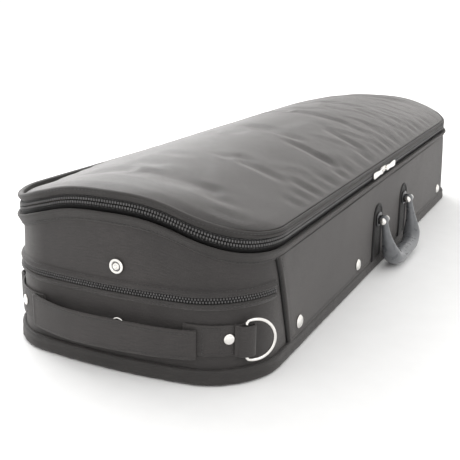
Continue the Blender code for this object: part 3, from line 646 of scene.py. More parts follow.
def wood_material(name, colour):
    """Layered ply, seen only at the shells' rims."""
    material, tree, shader = new_material(name)
    vector = coordinates(tree, False, 1000.0)
    layers = add_node(tree, "ShaderNodeTexWave", bands_direction="Z")
    layers.inputs["Scale"].default_value = 0.25
    layers.inputs["Distortion"].default_value = 2.0
    link(tree, vector, layers.inputs["Vector"])
    paint(tree, shader, layers.outputs["Fac"], colour, (0.2, 0.75), (0.8, 1.2))
    link(tree, bump_node(tree, noise_node(tree, vector, 0.6), 0.3, 0.0003), shader.inputs["Normal"])
    shader.inputs["Roughness"].default_value = 0.7
    return material


NYLON = cloth_material("nylon", (0.030, 0.0268, 0.0260), sheen=0.22)
LID_NYLON = cloth_material("lid_nylon", (0.030, 0.0270, 0.0262), sheen=0.26, roughness=0.52, gloss=0.55)
TRIM = cloth_material("nylon_trim", (0.026, 0.0235, 0.0225), thread_mm=0.5, sheen=0.16)
# Near-black zip tape: partly the tape's own dark, and on the end pocket's zip painted shade in its sunk
# recess; the cord beside the front panel uses it as painted shadow.
TAPE_AND_SHADE = cloth_material("zip_tape_and_shade", (0.005, 0.0046, 0.0048), thread_mm=0.6, sheen=0.02, roughness=0.65)
WEBBING = cloth_material("webbing", (0.034, 0.0305, 0.0295), thread_mm=0.6, sheen=0.18)
PATCH = cloth_material("patch", (0.009, 0.0082, 0.0082), thread_mm=0.6, sheen=0.06, use_uv=False)
COIL = plastic_material("zip_coil", (0.095, 0.092, 0.092), 0.3, 0.1)
THREADS = thread_material("thread", (0.010, 0.009, 0.009))
NICKEL = metal_material("nickel", (0.88, 0.86, 0.83), 0.14)
STEEL = metal_material("hinge_steel", (0.62, 0.62, 0.62), 0.3)
# Dark steel for the handle's brackets; the same material is painted shade on the ring inside the snap
# socket.
DARK_STEEL_AND_SHADE = metal_material("dark_steel_and_shade", (0.16, 0.16, 0.165), 0.3)
GRIP = plastic_material("grip_plastic", (0.115, 0.119, 0.126), 0.26, 0.06)
BLACK_PLASTIC = plastic_material("bow_plastic", (0.02, 0.02, 0.02), 0.4, 0.3)
PLUSH = plush_material("plush", (0.13, 0.018, 0.032))
PLY = wood_material("shell_board", (0.32, 0.24, 0.16))


# --- Which part of the loop -----------------------------------------------------------------------

BACK_START = SIDE_STEPS + 2 * CORNER_STEPS + END_STEPS
NEAR_BACK = BACK_START + SIDE_STEPS
ZIP_BACK_STEPS = 6


def zip_indexes():
    """The samples along the zip: from the back's -X end round the -X end, front and +X end."""
    start = NEAR_BACK - ZIP_BACK_STEPS
    stop = BACK_START + ZIP_BACK_STEPS
    return [index % COUNT for index in range(start, COUNT + stop + 1)]


# --- Base -----------------------------------------------------------------------------------------

def make_base_cover():
    """The base's side wall in woven nylon, a little slack between its seams."""
    rows = 34
    profile = []
    angle = RUN[:-1]
    for row in range(rows):
        share = row / (rows - 1)
        z = 0.0105 + share * (LIP - 0.0085 - 0.0105)
        slack = math.sin(math.pi * share)
        waves = bumps(angle * 11, z * 26, 0.0, 3.0) * 0.0007 + bumps(angle * 34, z * 40, 5.0, 1.0) * 0.0002
        pull = np.exp(-((z - POCKET_ZIP_Z) / 0.006) ** 2) * np.clip(-(LOOP_X + 0.25) / 0.05, 0, 1)
        seams = np.exp(-(1 - share) / 0.07) + np.exp(-share / 0.07)
        gather = bumps(angle * 120, 0.0, z * 15, 9.0) * 0.0004 * seams
        profile.append((slack * waves + gather - 0.0006 * pull - 0.0002, z, 0.0))
    wall = band("base_cover_cloth", profile)
    place(wall, "base", "nylon", NYLON, "base_cover")


def make_base_lip():
    """The flange along the base's top edge: a folded, stitched lip that tapers into the wall."""
    angle = RUN[:-1]
    ripple = bumps(angle * 230, 0.0, 0.0, 4.0) * 0.00035
    sway = bumps(angle * 14, 0.0, 0.0, 6.0) * 0.0008
    shape = [(-0.0006, -0.0105), (0.0006, -0.0098), (0.0013, -0.0088), (0.0020, -0.0076),
             (0.0030, -0.0060), (0.0041, -0.0042), (0.0052, -0.0025), (0.0060, -0.0012),
             (0.0063, -0.0002), (0.0060, 0.0006), (0.0052, 0.0010), (0.0041, 0.0008),
             (0.0028, 0.0001), (0.0014, -0.0008), (0.0000, -0.0014), (-0.0014, -0.0016)]
    profile = []
    for number, (offset, above) in enumerate(shape):
        puff = max(0.0, 1 - abs(number - 8) / 6)
        pucker = ripple * (1.0 if 1 <= number <= 6 else 0.4)
        profile.append((offset + pucker + sway * puff, LIP, above + sway * 0.4 * puff))
    lip = band("base_lip_fold", profile)
    place(lip, "base", "nylon_trim", TRIM, "base_lip")
    lines = [loop_line(0.0018 + 0.0004, LIP, -0.0080)]
    place(stitches("base_lip_stitches", lines, closed=True), "base", "nylon_trim", THREADS)


def make_hem():
    """The rolled binding round the bottom edge."""
    angle = RUN[:-1]
    ripple = bumps(angle * 160, 0.0, 0.0, 2.0) * 0.0003
    sway = bumps(angle * 12, 0.0, 0.0, 8.0) * 0.0006
    shape = [(-0.0010, 0.0140), (0.0002, 0.0143), (0.0014, 0.0147), (0.0026, 0.0144),
             (0.0033, 0.0135), (0.0035, 0.0120), (0.0031, 0.0100), (0.0032, 0.0076),
             (0.0036, 0.0050), (0.0036, 0.0028), (0.0028, 0.0012), (0.0012, 0.0004),
             (-0.0015, 0.0003)]
    profile = [(offset + ripple + sway * 0.5, np.full(COUNT, height), 0.0) for offset, height in shape]
    place(band("bottom_hem", profile), "base", "nylon_trim", TRIM, "bottom_welt")
    lines = [loop_line(0.0030, np.full(COUNT, 0.0118), 0.0)]
    place(stitches("hem_stitches", lines, closed=True), "base", "nylon_trim", THREADS)


def make_bottom():
    """The cloth-covered bottom, flat where it rests."""
    rows = []
    for inset, z in ((-0.0004, 0.0022), (0.0006, 0.0008), (0.002, 0.0001), (0.02, 0.0), (0.05, 0.0),
                     (0.09, 0.0), (0.12, 0.0)):
        x, y = plan_xy(0.0, -0.0)
        scale_x = 1 - (inset + 0.0004) / (HALF_LENGTH + END_BOW)
        scale_y = 1 - (inset + 0.0004) / HALF_WIDTH
        rows.append(np.stack([x * scale_x, y * scale_y, np.full(COUNT, z)], 1))
    run_v = [0.0, 0.001, 0.003, 0.02, 0.05, 0.09, 0.12]
    bottom = grid_object("bottom_cloth", np.array(rows), (RUN, run_v), close_u=True)
    shape = bmesh.new()
    shape.from_mesh(bottom.data)
    bmesh.ops.holes_fill(shape, edges=[e for e in shape.edges if e.is_boundary], sides=0)
    bmesh.ops.recalc_face_normals(shape, faces=shape.faces)
    shape.to_mesh(bottom.data)
    shape.free()
    place(bottom, "base", "nylon", NYLON, "base_bottom_panel")


# --- Zip ------------------------------------------------------------------------------------------



def zip_teeth(name, line, size, start):
    """One row of a zip's teeth, each standing across the line."""
    spots, ways = walk(line, TOOTH_PITCH, False, start)
    across = np.cross(ways, (0.0, 0.0, 1.0))
    ups = np.tile((0.0, 0.0, 1.0), (len(spots), 1))
    return seeds_object(name, spots, ups, across, size, 3, 8)


def make_main_zip():
    """Two woven tapes with a sewn row each, and the coil's two rows of teeth."""
    chosen = zip_indexes()
    lower = [(-0.0016, LIP, -0.0020), (0.0000, LIP, -0.0004), (0.0009, LIP, 0.0012), (0.0015, LIP, 0.0030),
             (0.0019, LIP, 0.0048), (ZIP_OUT, LIP, 0.0062), (ZIP_OUT, LIP, 0.0074), (0.0010, LIP, 0.0079)]
    upper = [(0.0010, LIP, 0.0081), (ZIP_OUT, LIP, 0.0086), (ZIP_OUT, LIP, 0.0098), (0.0019, LIP, 0.0112),
             (0.0012, LIP, 0.0126), (0.0002, LIP, 0.0140), (-0.0014, LIP, 0.0150)]
    place(band("zip_tape_low", lower), "base", "zip_coil", TAPE_AND_SHADE, "zipper_tape_lower")
    place(band("zip_tape_high", upper), "lid", "zip_coil", TAPE_AND_SHADE, "zipper_tape_upper")
    for name, body, height, start in (("low", "base", 0.0064, 0.0),
                                      ("high", "lid", 0.0096, TOOTH_PITCH / 2)):
        line = loop_line(ZIP_OUT + 0.0004, LIP, height, chosen)
        place(zip_teeth(f"zip_teeth_{name}", line, MAIN_TOOTH, start), body, "zip_coil", COIL)
        side = -1 if name == "low" else 1
        sewn = [loop_line(ZIP_OUT + 0.0001, LIP, height + side * 0.0022, chosen)]
        place(stitches(f"zip_sewing_{name}", sewn), body, "zip_coil", THREADS)


def make_pocket_zip():
    """The end pocket's zip: a sunk tape and coil between two folded edges of the cover's cloth."""
    back = 22
    chosen = [index % COUNT for index in range(NEAR_BACK - back, COUNT - 2)]
    level = np.full(COUNT, POCKET_ZIP_Z)
    shape = [(-0.0006, -0.0048), (0.0006, -0.0040), (0.0008, -0.0024), (0.0010, 0.0),
             (0.0008, 0.0024), (0.0006, 0.0040), (-0.0006, 0.0048)]
    tape = [(out, level, above) for out, above in shape]
    # The near-black tape here is painted shade in the pocket zip's recess as well as the tape's own dark.
    place(band("pocket_zip_tape", tape, chosen), "base", "zip_coil", TAPE_AND_SHADE, "pocket_zipper")
    run = RUN[:-1]
    ripple = bumps(run * 210, 0.0, 0.0, 41.0) * 0.00022
    sway = bumps(run * 22, 0.0, 0.0, 42.0) * 0.0004
    for name, side in (("low", -1), ("high", 1)):
        shape = [(0.0002, 0.0034), (0.0016, 0.0028), (0.0027, 0.0031), (0.0031, 0.0041),
                 (0.0028, 0.0054), (0.0018, 0.0068), (0.0008, 0.0080), (-0.0006, 0.0094)]
        profile = [(out + ripple + sway * min(out / 0.002, 1.0), level, side * above)
                   for out, above in shape]
        fold_edge = band(f"pocket_fold_{name}", profile, chosen)
        if side < 0:
            fold_edge.data.flip_normals()
        place(fold_edge, "base", "nylon", NYLON)
    for name, height, start in (("low", -0.0013, 0.0), ("high", 0.0013, TOOTH_PITCH / 2)):
        line = loop_line(0.0012, level, height, chosen)
        place(zip_teeth(f"pocket_teeth_{name}", line, POCKET_TOOTH, start), "base", "zip_coil", COIL)
    lines = [loop_line(0.0032, level, side * 0.0046, chosen) for side in (-1, 1)]
    lines += [loop_line(0.0013, level, side * 0.0076, chosen) for side in (-1, 1)]
    place(stitches("pocket_zip_stitches", lines), "base", "zip_coil", THREADS)


# --- Front panel ----------------------------------------------------------------------------------

def front_wall_y(x, z, end):
    """The wall's y on the front, bent back where the corner begins."""
    radius = CORNER_R_BOTTOM + CORNER_R_SLOPE[0 if end < 0 else 1] * z
    past = np.maximum(np.abs(x) - (HALF_LENGTH - radius), 0.0)
    return -(HALF_WIDTH - radius + np.sqrt(np.maximum(radius ** 2 - past ** 2, 0.0)))


PANEL_LOW, PANEL_HIGH = 0.0125, 0.1045


def panel_edges(z):
    share = (z - PANEL_LOW) / (PANEL_HIGH - PANEL_LOW)
    return -0.310 - 0.031 * share, 0.326 - 0.012 * share


def panel_point(x, z, out):
    y = np.where(x < 0, front_wall_y(x, z, -1), front_wall_y(x, z, 1))
    return np.stack([x, y - out, z], -1)


def make_panel_shadow_line():
    """A near-black cord in the seam beside the panel's two upright edges: painted shadow for the gap along
    each edge.
    """
    for side, name in ((0, "near"), (1, "far")):
        heights = np.linspace(PANEL_LOW, PANEL_HIGH + 0.001, 40)
        x = np.array([panel_edges(z)[side] for z in heights]) + (-0.0009 if side == 0 else 0.0009)
        line = panel_point(x, heights, np.full(40, 0.0008))
        cord = tube_object(f"panel_shadow_line_{name}", line, 0.0011, 8, up=(0, 1, 0))
        place(cord, "base", "nylon_trim", TAPE_AND_SHADE)


def make_front_panel():
    """The second layer of nylon on the front, with folded, sewn edges."""
    edge = np.array([0.0, 0.0001, 0.0006, 0.0014, 0.0026, 0.0045, 0.007, 0.011])
    along = np.concatenate([edge / 0.64, np.linspace(0.03, 0.97, 150), 1 - edge[::-1] / 0.64])
    up = np.concatenate([edge / 0.092, np.linspace(0.17, 0.83, 22), 1 - edge[::-1] / 0.092])
    rows = []
    for share in up:
        z = PANEL_LOW + (PANEL_HIGH - PANEL_LOW) * share
        start, stop = panel_edges(z)
        x = start + (stop - start) * along
        in_x = np.minimum(x - start, stop - x)
        in_z = min(z - PANEL_LOW, 1.0)
        depth = np.minimum(in_x, in_z)
        fold = np.sqrt(np.clip(1 - (1 - np.clip(depth / 0.0026, 0, 1)) ** 2, 0, 1))
        seam = 0.0005 * np.exp(-((depth - 0.0042) / 0.0011) ** 2)
        soft = bumps(x * 9, 0.0, z * 22, 11.0) * 0.0009 + bumps(x * 30, 2.0, z * 45, 12.0) * 0.00025
        soft = soft * np.clip(depth / 0.02, 0, 1)
        near_edge = 0.0012 * np.exp(-np.abs(x - start) / 0.012) * np.sin(math.pi * share)
        rows.append(panel_point(x, np.full_like(x, z),
                                PANEL_THICK * fold - seam + soft + near_edge - 0.0002))
    u_run = along * 0.64
    panel = grid_object("front_panel_cloth", np.array(rows), (u_run, up * 0.092))
    place(panel, "base", "nylon", NYLON, "front_panel")
    lines = []
    heights = np.linspace(PANEL_LOW + 0.0042, PANEL_HIGH - 0.002, 40)
    for side in (0, 1):
        x = np.array([panel_edges(z)[side] for z in heights]) + (0.0042 if side == 0 else -0.0042)
        lines.append(panel_point(x, heights, PANEL_THICK - 0.0001))
    low_x = np.linspace(panel_edges(PANEL_LOW)[0] + 0.005, panel_edges(PANEL_LOW)[1] - 0.005, 120)
    lines.append(panel_point(low_x, np.full_like(low_x, PANEL_LOW + 0.0042), PANEL_THICK - 0.0001))
    place(stitches("front_panel_stitches", lines, normal=(0, -1, 0)), "base", "nylon", THREADS)


# --- End strap, tabs and rings --------------------------------------------------------------------

def end_wall(distance, z, offset):
    """Point round the -X end at a distance from its middle, + towards the front."""
    offset = np.asarray(offset, float)
    middle = NEAR_BACK + CORNER_STEPS + END_STEPS // 2
    chosen = [index % COUNT for index in range(middle - CORNER_STEPS - END_STEPS // 2 - 30,
                                               middle + CORNER_STEPS + END_STEPS // 2 + 31)]
    x, y = plan_xy(z, 0.0, PLAN[chosen])
    run = np.concatenate([[0.0], np.cumsum(np.hypot(np.diff(x), np.diff(y)))])
    centre = run[len(run) // 2]
    wanted = centre + np.asarray(distance, float)
    px, py = np.interp(wanted, run, x), np.interp(wanted, run, y)
    ax, ay = np.interp(wanted + 0.001, run, x), np.interp(wanted + 0.001, run, y)
    bx, by = np.interp(wanted - 0.001, run, x), np.interp(wanted - 0.001, run, y)
    tx, ty = ax - bx, ay - by
    size = np.hypot(tx, ty)
    nx, ny = ty / size, -tx / size
    return np.stack([px + nx * offset, py + ny * offset, np.broadcast_to(z, px.shape)], -1)


def ribbon(name, distances, offsets, low, high, thick, round_edge=0.0009):
    """Webbing on edge along a path of (distance, offset) at the end wall, with rounded edges."""
    distances = np.asarray(distances, float)
    offsets = np.asarray(offsets, float)
    low = np.broadcast_to(np.asarray(low, float), distances.shape)
    high = np.broadcast_to(np.asarray(high, float), distances.shape)
    run_s, run_o = np.gradient(distances), np.gradient(offsets)
    size = np.hypot(run_s, run_o)
    flip = 1.0 if distances[len(distances) // 3] > distances[0] else -1.0
    out_s, out_o = -run_o / size * flip, run_s / size * flip
    edge = ((-0.5, 1.0), (-0.42, 0.45), (-0.2, 0.08), (0.0, 0.0), (0.2, 0.08), (0.42, 0.45),
            (0.5, 1.0))
    section = [(out, inset * round_edge, 0) for out, inset in edge]
    section += [(0.5, step / 8, 2) for step in range(1, 8)]
    section += [(out, inset * round_edge, 1) for out, inset in reversed(edge)]
    section += [(-0.5, step / 8, 2) for step in range(7, 0, -1)]
    rows = []
    run_v = [0.0]
    for out, inset, kind in section:
        points = end_wall(distances + out_s * out * thick, 0.04, offsets + out_o * out * thick)
        if kind == 0:
            points[:, 2] = low + inset
        elif kind == 1:
            points[:, 2] = high - inset
        else:
            points[:, 2] = low + (high - low) * inset
        if rows:
            run_v.append(run_v[-1] + float(np.linalg.norm(points - rows[-1], axis=1).mean()))
        rows.append(points)
    run_v.append(run_v[-1] + float(np.linalg.norm(rows[0] - rows[-1], axis=1).mean()))
    run_u = np.concatenate([[0.0], np.cumsum(np.hypot(np.diff(distances), np.diff(offsets)))])
    strip = grid_object(name, np.array(rows), (run_u, run_v), close_v=True)
    cap_ends(strip)
    return strip


def wall_line(distances, offsets, heights):
    line = end_wall(np.asarray(distances, float), 0.04, np.asarray(offsets, float))
    line[:, 2] = heights
    return line


def strap_offset(distance):
    seat = TAB_OUT + TAB_WEB / 2 + 0.0016
    free = np.clip(1 - (np.abs(distance) / STRAP_END) ** 2, 0.0, 1.0)
    return seat + 0.0095 * free ** 0.7


def strap_edges(distance):
    """The strap's lower and upper edge, a little twisted and narrower towards the front."""
    share = np.asarray(distance) / STRAP_END
    sway = 0.0007 * np.sin(4.1 * share + 0.6)
    low = 0.0253 + 0.0004 * share + sway * 0.6 + 0.0007 * np.clip(share - 0.9, 0, 1) / 0.1
    high = 0.0533 - 0.0014 * share + sway
    return low - 0.0009 * np.clip(share - 0.86, 0, 1) / 0.14, high


def make_strap():
    """The carrying strap across the end: a folded length of cloth, sewn along its edges."""
    reach = STRAP_END + 0.0006
    distances = np.concatenate([-reach + 0.004 * np.linspace(0, 1, 7)[:-1],
                                np.linspace(-reach + 0.004, reach - 0.004, 64),
                                reach - 0.004 * np.linspace(1, 0, 7)[1:]])
    low, high = strap_edges(distances)
    swell = 0.0007 * np.exp(-((np.abs(distances) - reach + 0.0022) / 0.0014) ** 2)
    ripple = bumps(distances * 55, 0.0, 0.0, 15.0) * 0.0005
    offsets = strap_offset(distances) + swell + ripple
    strap = ribbon("carry_strap", distances, offsets, low, high, 0.0028, 0.0011)
    place(strap, "base", "webbing", WEBBING, "end_strap")
    inner = distances[5:-5]
    low, high = strap_edges(inner)
    lines = []
    for edge in (low + 0.0028, high - 0.0028):
        lines.append(wall_line(inner, strap_offset(inner) + ripple[5:-5] + 0.00145, edge))
    place(stitches("carry_strap_stitches", lines), "base", "webbing", THREADS)
    for side, name in ((1, "front"), (-1, "back")):
        make_tab(side, name)


def tab_path(side):
    """Middle line of the webbing: out along the wall, round the ring's bar and back over it."""
    bar = RING_S[side]
    flat = [(length, TAB_OUT) for length in np.linspace(0.0700, bar + 0.0030, 9)]
    loop = [(0.0050, 0.0017), (0.0072, 0.0024), (0.0083, 0.0041), (0.0079, 0.0060),
            (0.0062, 0.0075), (0.0032, 0.0083), (-0.0002, 0.0085), (-0.0034, 0.0079),
            (-0.0054, 0.0063), (-0.0062, 0.0044), (-0.0076, 0.0034), (-0.0092, 0.0033)]
    corners = np.array(flat + [(bar + along, offset) for along, offset in loop])
    steps = np.concatenate([[0.0], np.cumsum(np.hypot(*np.diff(corners, axis=0).T))])
    fine = np.linspace(0.0, steps[-1], 76)
    path = np.stack([np.interp(fine, steps, corners[:, axis]) for axis in (0, 1)], 1)
    for _ in range(3):
        path[1:-1] = 0.25 * path[:-2] + 0.5 * path[1:-1] + 0.25 * path[2:]
    return path


def make_tab(side, name):
    """A stitched tab that holds the strap's end, its rivet and a D-ring."""
    path = tab_path(side)
    middle = 0.0415 - 0.0020 * (path[:, 0] - 0.072) / 0.058
    low, high = middle - TAB_HALF, middle + TAB_HALF
    tab = ribbon(f"tab_{name}", side * path[:, 0], path[:, 1], low, high, TAB_WEB, 0.0006)
    place(tab, "base", "webbing", WEBBING, f"strap_tab_{name}")
    out = TAB_OUT + TAB_WEB / 2 + 0.0001
    lines = []
    end = RING_S[side] - 0.0105
    for start, stop, low, high in ((0.086, end, -0.0113, -0.0113), (0.086, end, 0.0113, 0.0113),
                                   (0.086, 0.086, -0.0113, 0.0113), (0.101, 0.101, -0.0113, 0.0113),
                                   (end, end, -0.0113, 0.0113)):
        shares = np.linspace(0, 1, 20)
        along = start + (stop - start) * shares
        centre = 0.0415 - 0.0020 * (along - 0.072) / 0.058
        heights = centre + low + (high - low) * shares
        lines.append(wall_line(side * along, np.full(len(along), out), heights))
    edge_spot = end_wall(side * 0.100, 0.04, 0.0)
    normal = end_wall(side * 0.100, 0.04, 0.01) - edge_spot
    place(stitches(f"tab_{name}_stitches", lines, normal=normal), "base", "webbing", THREADS)


def make_d_rings():
    """Welded wire D-rings; each keeps the solid's axis, size and lie."""
    for name in ("front", "back"):
        pivot, lie = np.array(RING_PIVOT[name]), np.array(RING_LIE[name])
        middle = RING_REACH - RING_RADIUS
        opening = math.acos(-middle / RING_RADIUS)
        path = []
        for angle in np.linspace(opening - 0.10, -opening + 0.10, 56):
            path.append((middle + RING_RADIUS * math.cos(angle), RING_RADIUS * math.sin(angle)))
        bar = path[-1][1]
        path += [(0.0004, height) for height in np.linspace(bar + 0.0016, -bar - 0.0016, 13)]
        points = np.array([pivot + lie * out + np.array([0, 0, height]) for out, height in path])
        normal = np.cross(lie, (0, 0, 1))
        ring = tube_object(f"ring_{name}", points, 0.0015, 14, closed=True, up=normal)
        place(ring, f"{name}_ring", "nickel", NICKEL, f"d_ring_{name}")


# --- Metal fittings -------------------------------------------------------------------------------

STUD_PROFILE = [(0.0062, 0.0), (0.0065, 0.0003), (0.0066, 0.0008), (0.0064, 0.0013),
                (0.0058, 0.0018), (0.0055, 0.0021), (0.0049, 0.0026), (0.0040, 0.0030),
                (0.0028, 0.0033), (0.0014, 0.0034), (0.0003, 0.00345)]
RIVET_PROFILE = [(0.0046, 0.0), (0.0049, 0.0003), (0.0050, 0.0008), (0.0047, 0.0013),
                 (0.0040, 0.0017), (0.0030, 0.0020), (0.0016, 0.0022), (0.0003, 0.00225)]


def node_face(node, axis):
    """Centre of the face of a CAD node that looks against axis, where it meets the wall."""
    low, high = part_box(node)
    centre = (low + high) / 2
    spot = Vector(centre)
    for index in range(3):
        if abs(axis[index]) > 0.5:
            spot[index] = low[index] if axis[index] > 0 else high[index]
    return spot


def make_studs():
    for number in range(1, 5):
        for node, axis in ((f"front_stud_{number}", (0, -1, 0)), (f"rear_foot_{number}", (0, 1, 0))):
            stud = turned_object(node + "_dome", STUD_PROFILE, node_face(node, axis), axis)
            place(stud, "base", "nickel", NICKEL, node)
    for side, name in ((1, "front"), (-1, "back")):
        spot = end_wall(side * RIVET_S[side], 0.042, 0.0022)
        out = end_wall(side * RIVET_S[side], 0.042, 0.0122) - spot
        rivet = turned_object(f"rivet_{name}", RIVET_PROFILE, spot, out)
        place(rivet, "base", "nickel", NICKEL, f"strap_rivet_{name}")


def make_snaps():
    """The snap's two halves: a ring with a sprung socket, and a stud with a waist."""
    socket = [(0.0060, 0.0), (0.0067, 0.0003), (0.0069, 0.0010), (0.0066, 0.0017), (0.0058, 0.0022),
              (0.0050, 0.0022), (0.0044, 0.0017), (0.0041, 0.0009), (0.0037, 0.0006),
              (0.0033, 0.0009), (0.0030, 0.0018), (0.0026, 0.0023), (0.0020, 0.0024),
              (0.0015, 0.0020), (0.0013, 0.0010), (0.0003, 0.0008)]
    stud = [(0.0058, 0.0), (0.0062, 0.0004), (0.0060, 0.0010), (0.0048, 0.0014), (0.0034, 0.0014),
            (0.0027, 0.0018), (0.0026, 0.0026), (0.0030, 0.0033), (0.0029, 0.0038),
            (0.0022, 0.0041), (0.0010, 0.0041), (0.0003, 0.00405)]
    for node, profile in (("snap_socket", socket), ("snap_stud", stud)):
        spot = node_face(node, (-1, 0, 0))
        place(turned_object(node + "_cap", profile, spot, (-1, 0, 0), 48), "base", "nickel", NICKEL, node)
    # A dark ring inside the socket: painted shade in the socket's recess.
    spot = node_face("snap_socket", (-1, 0, 0))
    recess = [(0.0028, 0.0006), (0.0029, 0.0011), (0.0032, 0.0013), (0.0040, 0.0013),
              (0.0043, 0.0011), (0.0044, 0.0006)]
    ring = grid_object("snap_recess_shade", turned_points(recess, 48), close_u=True)
    turn = Vector((0, 0, 1)).rotation_difference(Vector((-1, 0, 0))).to_matrix().to_4x4()
    ring.data.transform(Matrix.Translation(spot) @ turn)
    place(ring, "base", "nickel", DARK_STEEL_AND_SHADE)


def make_slider(name, bodies, way, out, spot):
    """A slider with a bridge, and a waisted pull with an eye."""
    slider_body, pull_body, slider_node, pull_node = bodies
    outline = []
    for index in range(28):
        angle = 2 * math.pi * index / 28
        shape_x = math.copysign(abs(math.cos(angle)) ** 0.5, math.cos(angle)) * 0.0060
        width = 0.0036 - 0.0006 * (shape_x / 0.0060)
        shape_z = math.copysign(abs(math.sin(angle)) ** 0.6, math.sin(angle)) * width
        outline.append((shape_x, shape_z))
    rows = []
    for scale, rise in ((0.92, 0.0), (1.0, 0.0006), (1.0, 0.0016), (0.93, 0.0023), (0.80, 0.0027),
                        (0.55, 0.0029), (0.2, 0.0030)):
        rows.append([(spot.x + a * scale * way, spot.y + out * rise, spot.z + b * scale)
                     for a, b in outline])
    body = grid_object(f"{name}_slider_body", np.array(rows), close_u=True)
    cap_ends(body)
    place(body, slider_body, "nickel", NICKEL, slider_node)
    arch = [(spot.x + way * (-0.0034 + 0.0068 * s),
             spot.y + out * (0.0026 + 0.0020 * math.sin(math.pi * s)), spot.z)
            for s in np.linspace(0, 1, 13)]
    bridge = tube_object(f"{name}_slider_bridge", arch, 0.0009, 8, up=(0, 0, 1))
    place(bridge, slider_body, "nickel", NICKEL)
    low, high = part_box(pull_node)
    base_y = low.y if out > 0 else high.y
    start = high.x if way < 0 else low.x
    length = high.x - low.x
    rim = []
    for share, half in ((0.0, 0.0022), (0.02, 0.0029), (0.08, 0.0034), (0.18, 0.0035),
                        (0.26, 0.0028), (0.34, 0.0026), (0.5, 0.0031), (0.7, 0.0036),
                        (0.88, 0.0038), (0.96, 0.0034), (1.0, 0.0020)):
        rim.append((share * length, half))
    loop = [(a, -h) for a, h in rim] + [(a, h) for a, h in reversed(rim)]
    middle = np.mean(np.array(loop), axis=0)
    rows = []
    for scale, rise in ((0.93, 0.0), (1.0, 0.0003), (1.0, 0.0010), (0.94, 0.0015), (0.86, 0.0016)):
        rows.append([(start + way * (middle[0] + (a - middle[0]) * (1 - (1 - scale) * 0.12)),
                      base_y + out * rise,
                      spot.z + b * scale) for a, b in loop])
    pull = grid_object(f"{name}_pull_tab", np.array(rows), close_u=True)
    cap_ends(pull)
    place(pull, pull_body, "nickel", NICKEL, pull_node)


def make_sliders():
    for name, side in (("left", -1), ("right", 1)):
        low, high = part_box(f"zip_{name}_slider")
        spot = Vector(((low.x + high.x) / 2, high.y - 0.0014, (low.z + high.z) / 2))
        bodies = (f"{name}_slider", f"{name}_pull", f"zip_{name}_slider", f"zip_{name}_pull")
        make_slider(f"zip_{name}", bodies, side, -1, spot)
    low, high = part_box("pocket_slider")
    spot = Vector(((low.x + high.x) / 2, low.y + 0.0002, (low.z + high.z) / 2))
    bodies = ("end_pocket_slider", "end_pocket_pull", "pocket_slider", "pocket_pull")
    make_slider("pocket", bodies, 1, 1, spot)


# --- Handle ---------------------------------------------------------------------------------------

def make_handle():
    """The moulded grip, broad in the middle, with slim legs and round eyes on chrome pins."""
    count = 84
    share = np.linspace(-1, 1, count)
    bend = np.sign(share) * np.abs(np.sin(share * math.pi / 2)) ** 0.75
    across = HANDLE_HALF_SPAN * bend
    drop = (HANDLE_DROP - 0.0016) * (1 - np.abs(share) ** 3.2)
    fill = np.clip((1 - np.abs(share)) / 0.42, 0, 1)
    fill = fill * fill * (3 - 2 * fill)
    radius = 0.0040 + 0.0050 * fill
    lean = np.array(Matrix.Rotation(-HANDLE_LEAN, 3, "X"))
    path = np.stack([across, np.zeros(count), -drop], 1)
    rows = round_bar(path, radius, 32, up=(0, 1, 0))
    rows[:, :, 1] *= (1.0 + 0.18 * fill)[None, :]
    points = rows.reshape(-1, 3) @ lean.T + np.array(HANDLE_PIVOT)
    points = points.reshape(rows.shape)
    points[:, :, 2] = np.maximum(points[:, :, 2], 0.0004)
    grip = grid_object("moulded_grip", points, close_v=True)
    cap_ends(grip)
    place(grip, "handle", "grip_plastic", GRIP, "handle_grip")
    for side, name in ((-1, "left"), (1, "right")):
        centre = HANDLE_PIVOT + Vector((side * HANDLE_HALF_SPAN, 0, 0))
        eye = [(0.0024, -0.0050), (0.0042, -0.0048), (0.0049, -0.0040), (0.0051, -0.0020),
               (0.0052, 0.0), (0.0051, 0.0020), (0.0049, 0.0040), (0.0042, 0.0048),
               (0.0024, 0.0050)]
        boss = turned_object(f"grip_eye_{name}", eye, centre, (1, 0, 0))
        place(boss, "handle", "grip_plastic", GRIP)
        knob = [(0.0006, -0.0103), (0.0022, -0.0101), (0.0034, -0.0095), (0.0041, -0.0085),
                (0.0043, -0.0074), (0.0041, -0.0063), (0.0034, -0.0055), (0.0020, -0.0052)]
        whole = knob + [(radius_, -height) for radius_, height in reversed(knob)]
        pin = turned_object(f"chrome_pin_{name}", whole, centre, (1, 0, 0))
        place(pin, "handle", "nickel", NICKEL, f"handle_pin_{name}")
        make_bracket(name, centre)


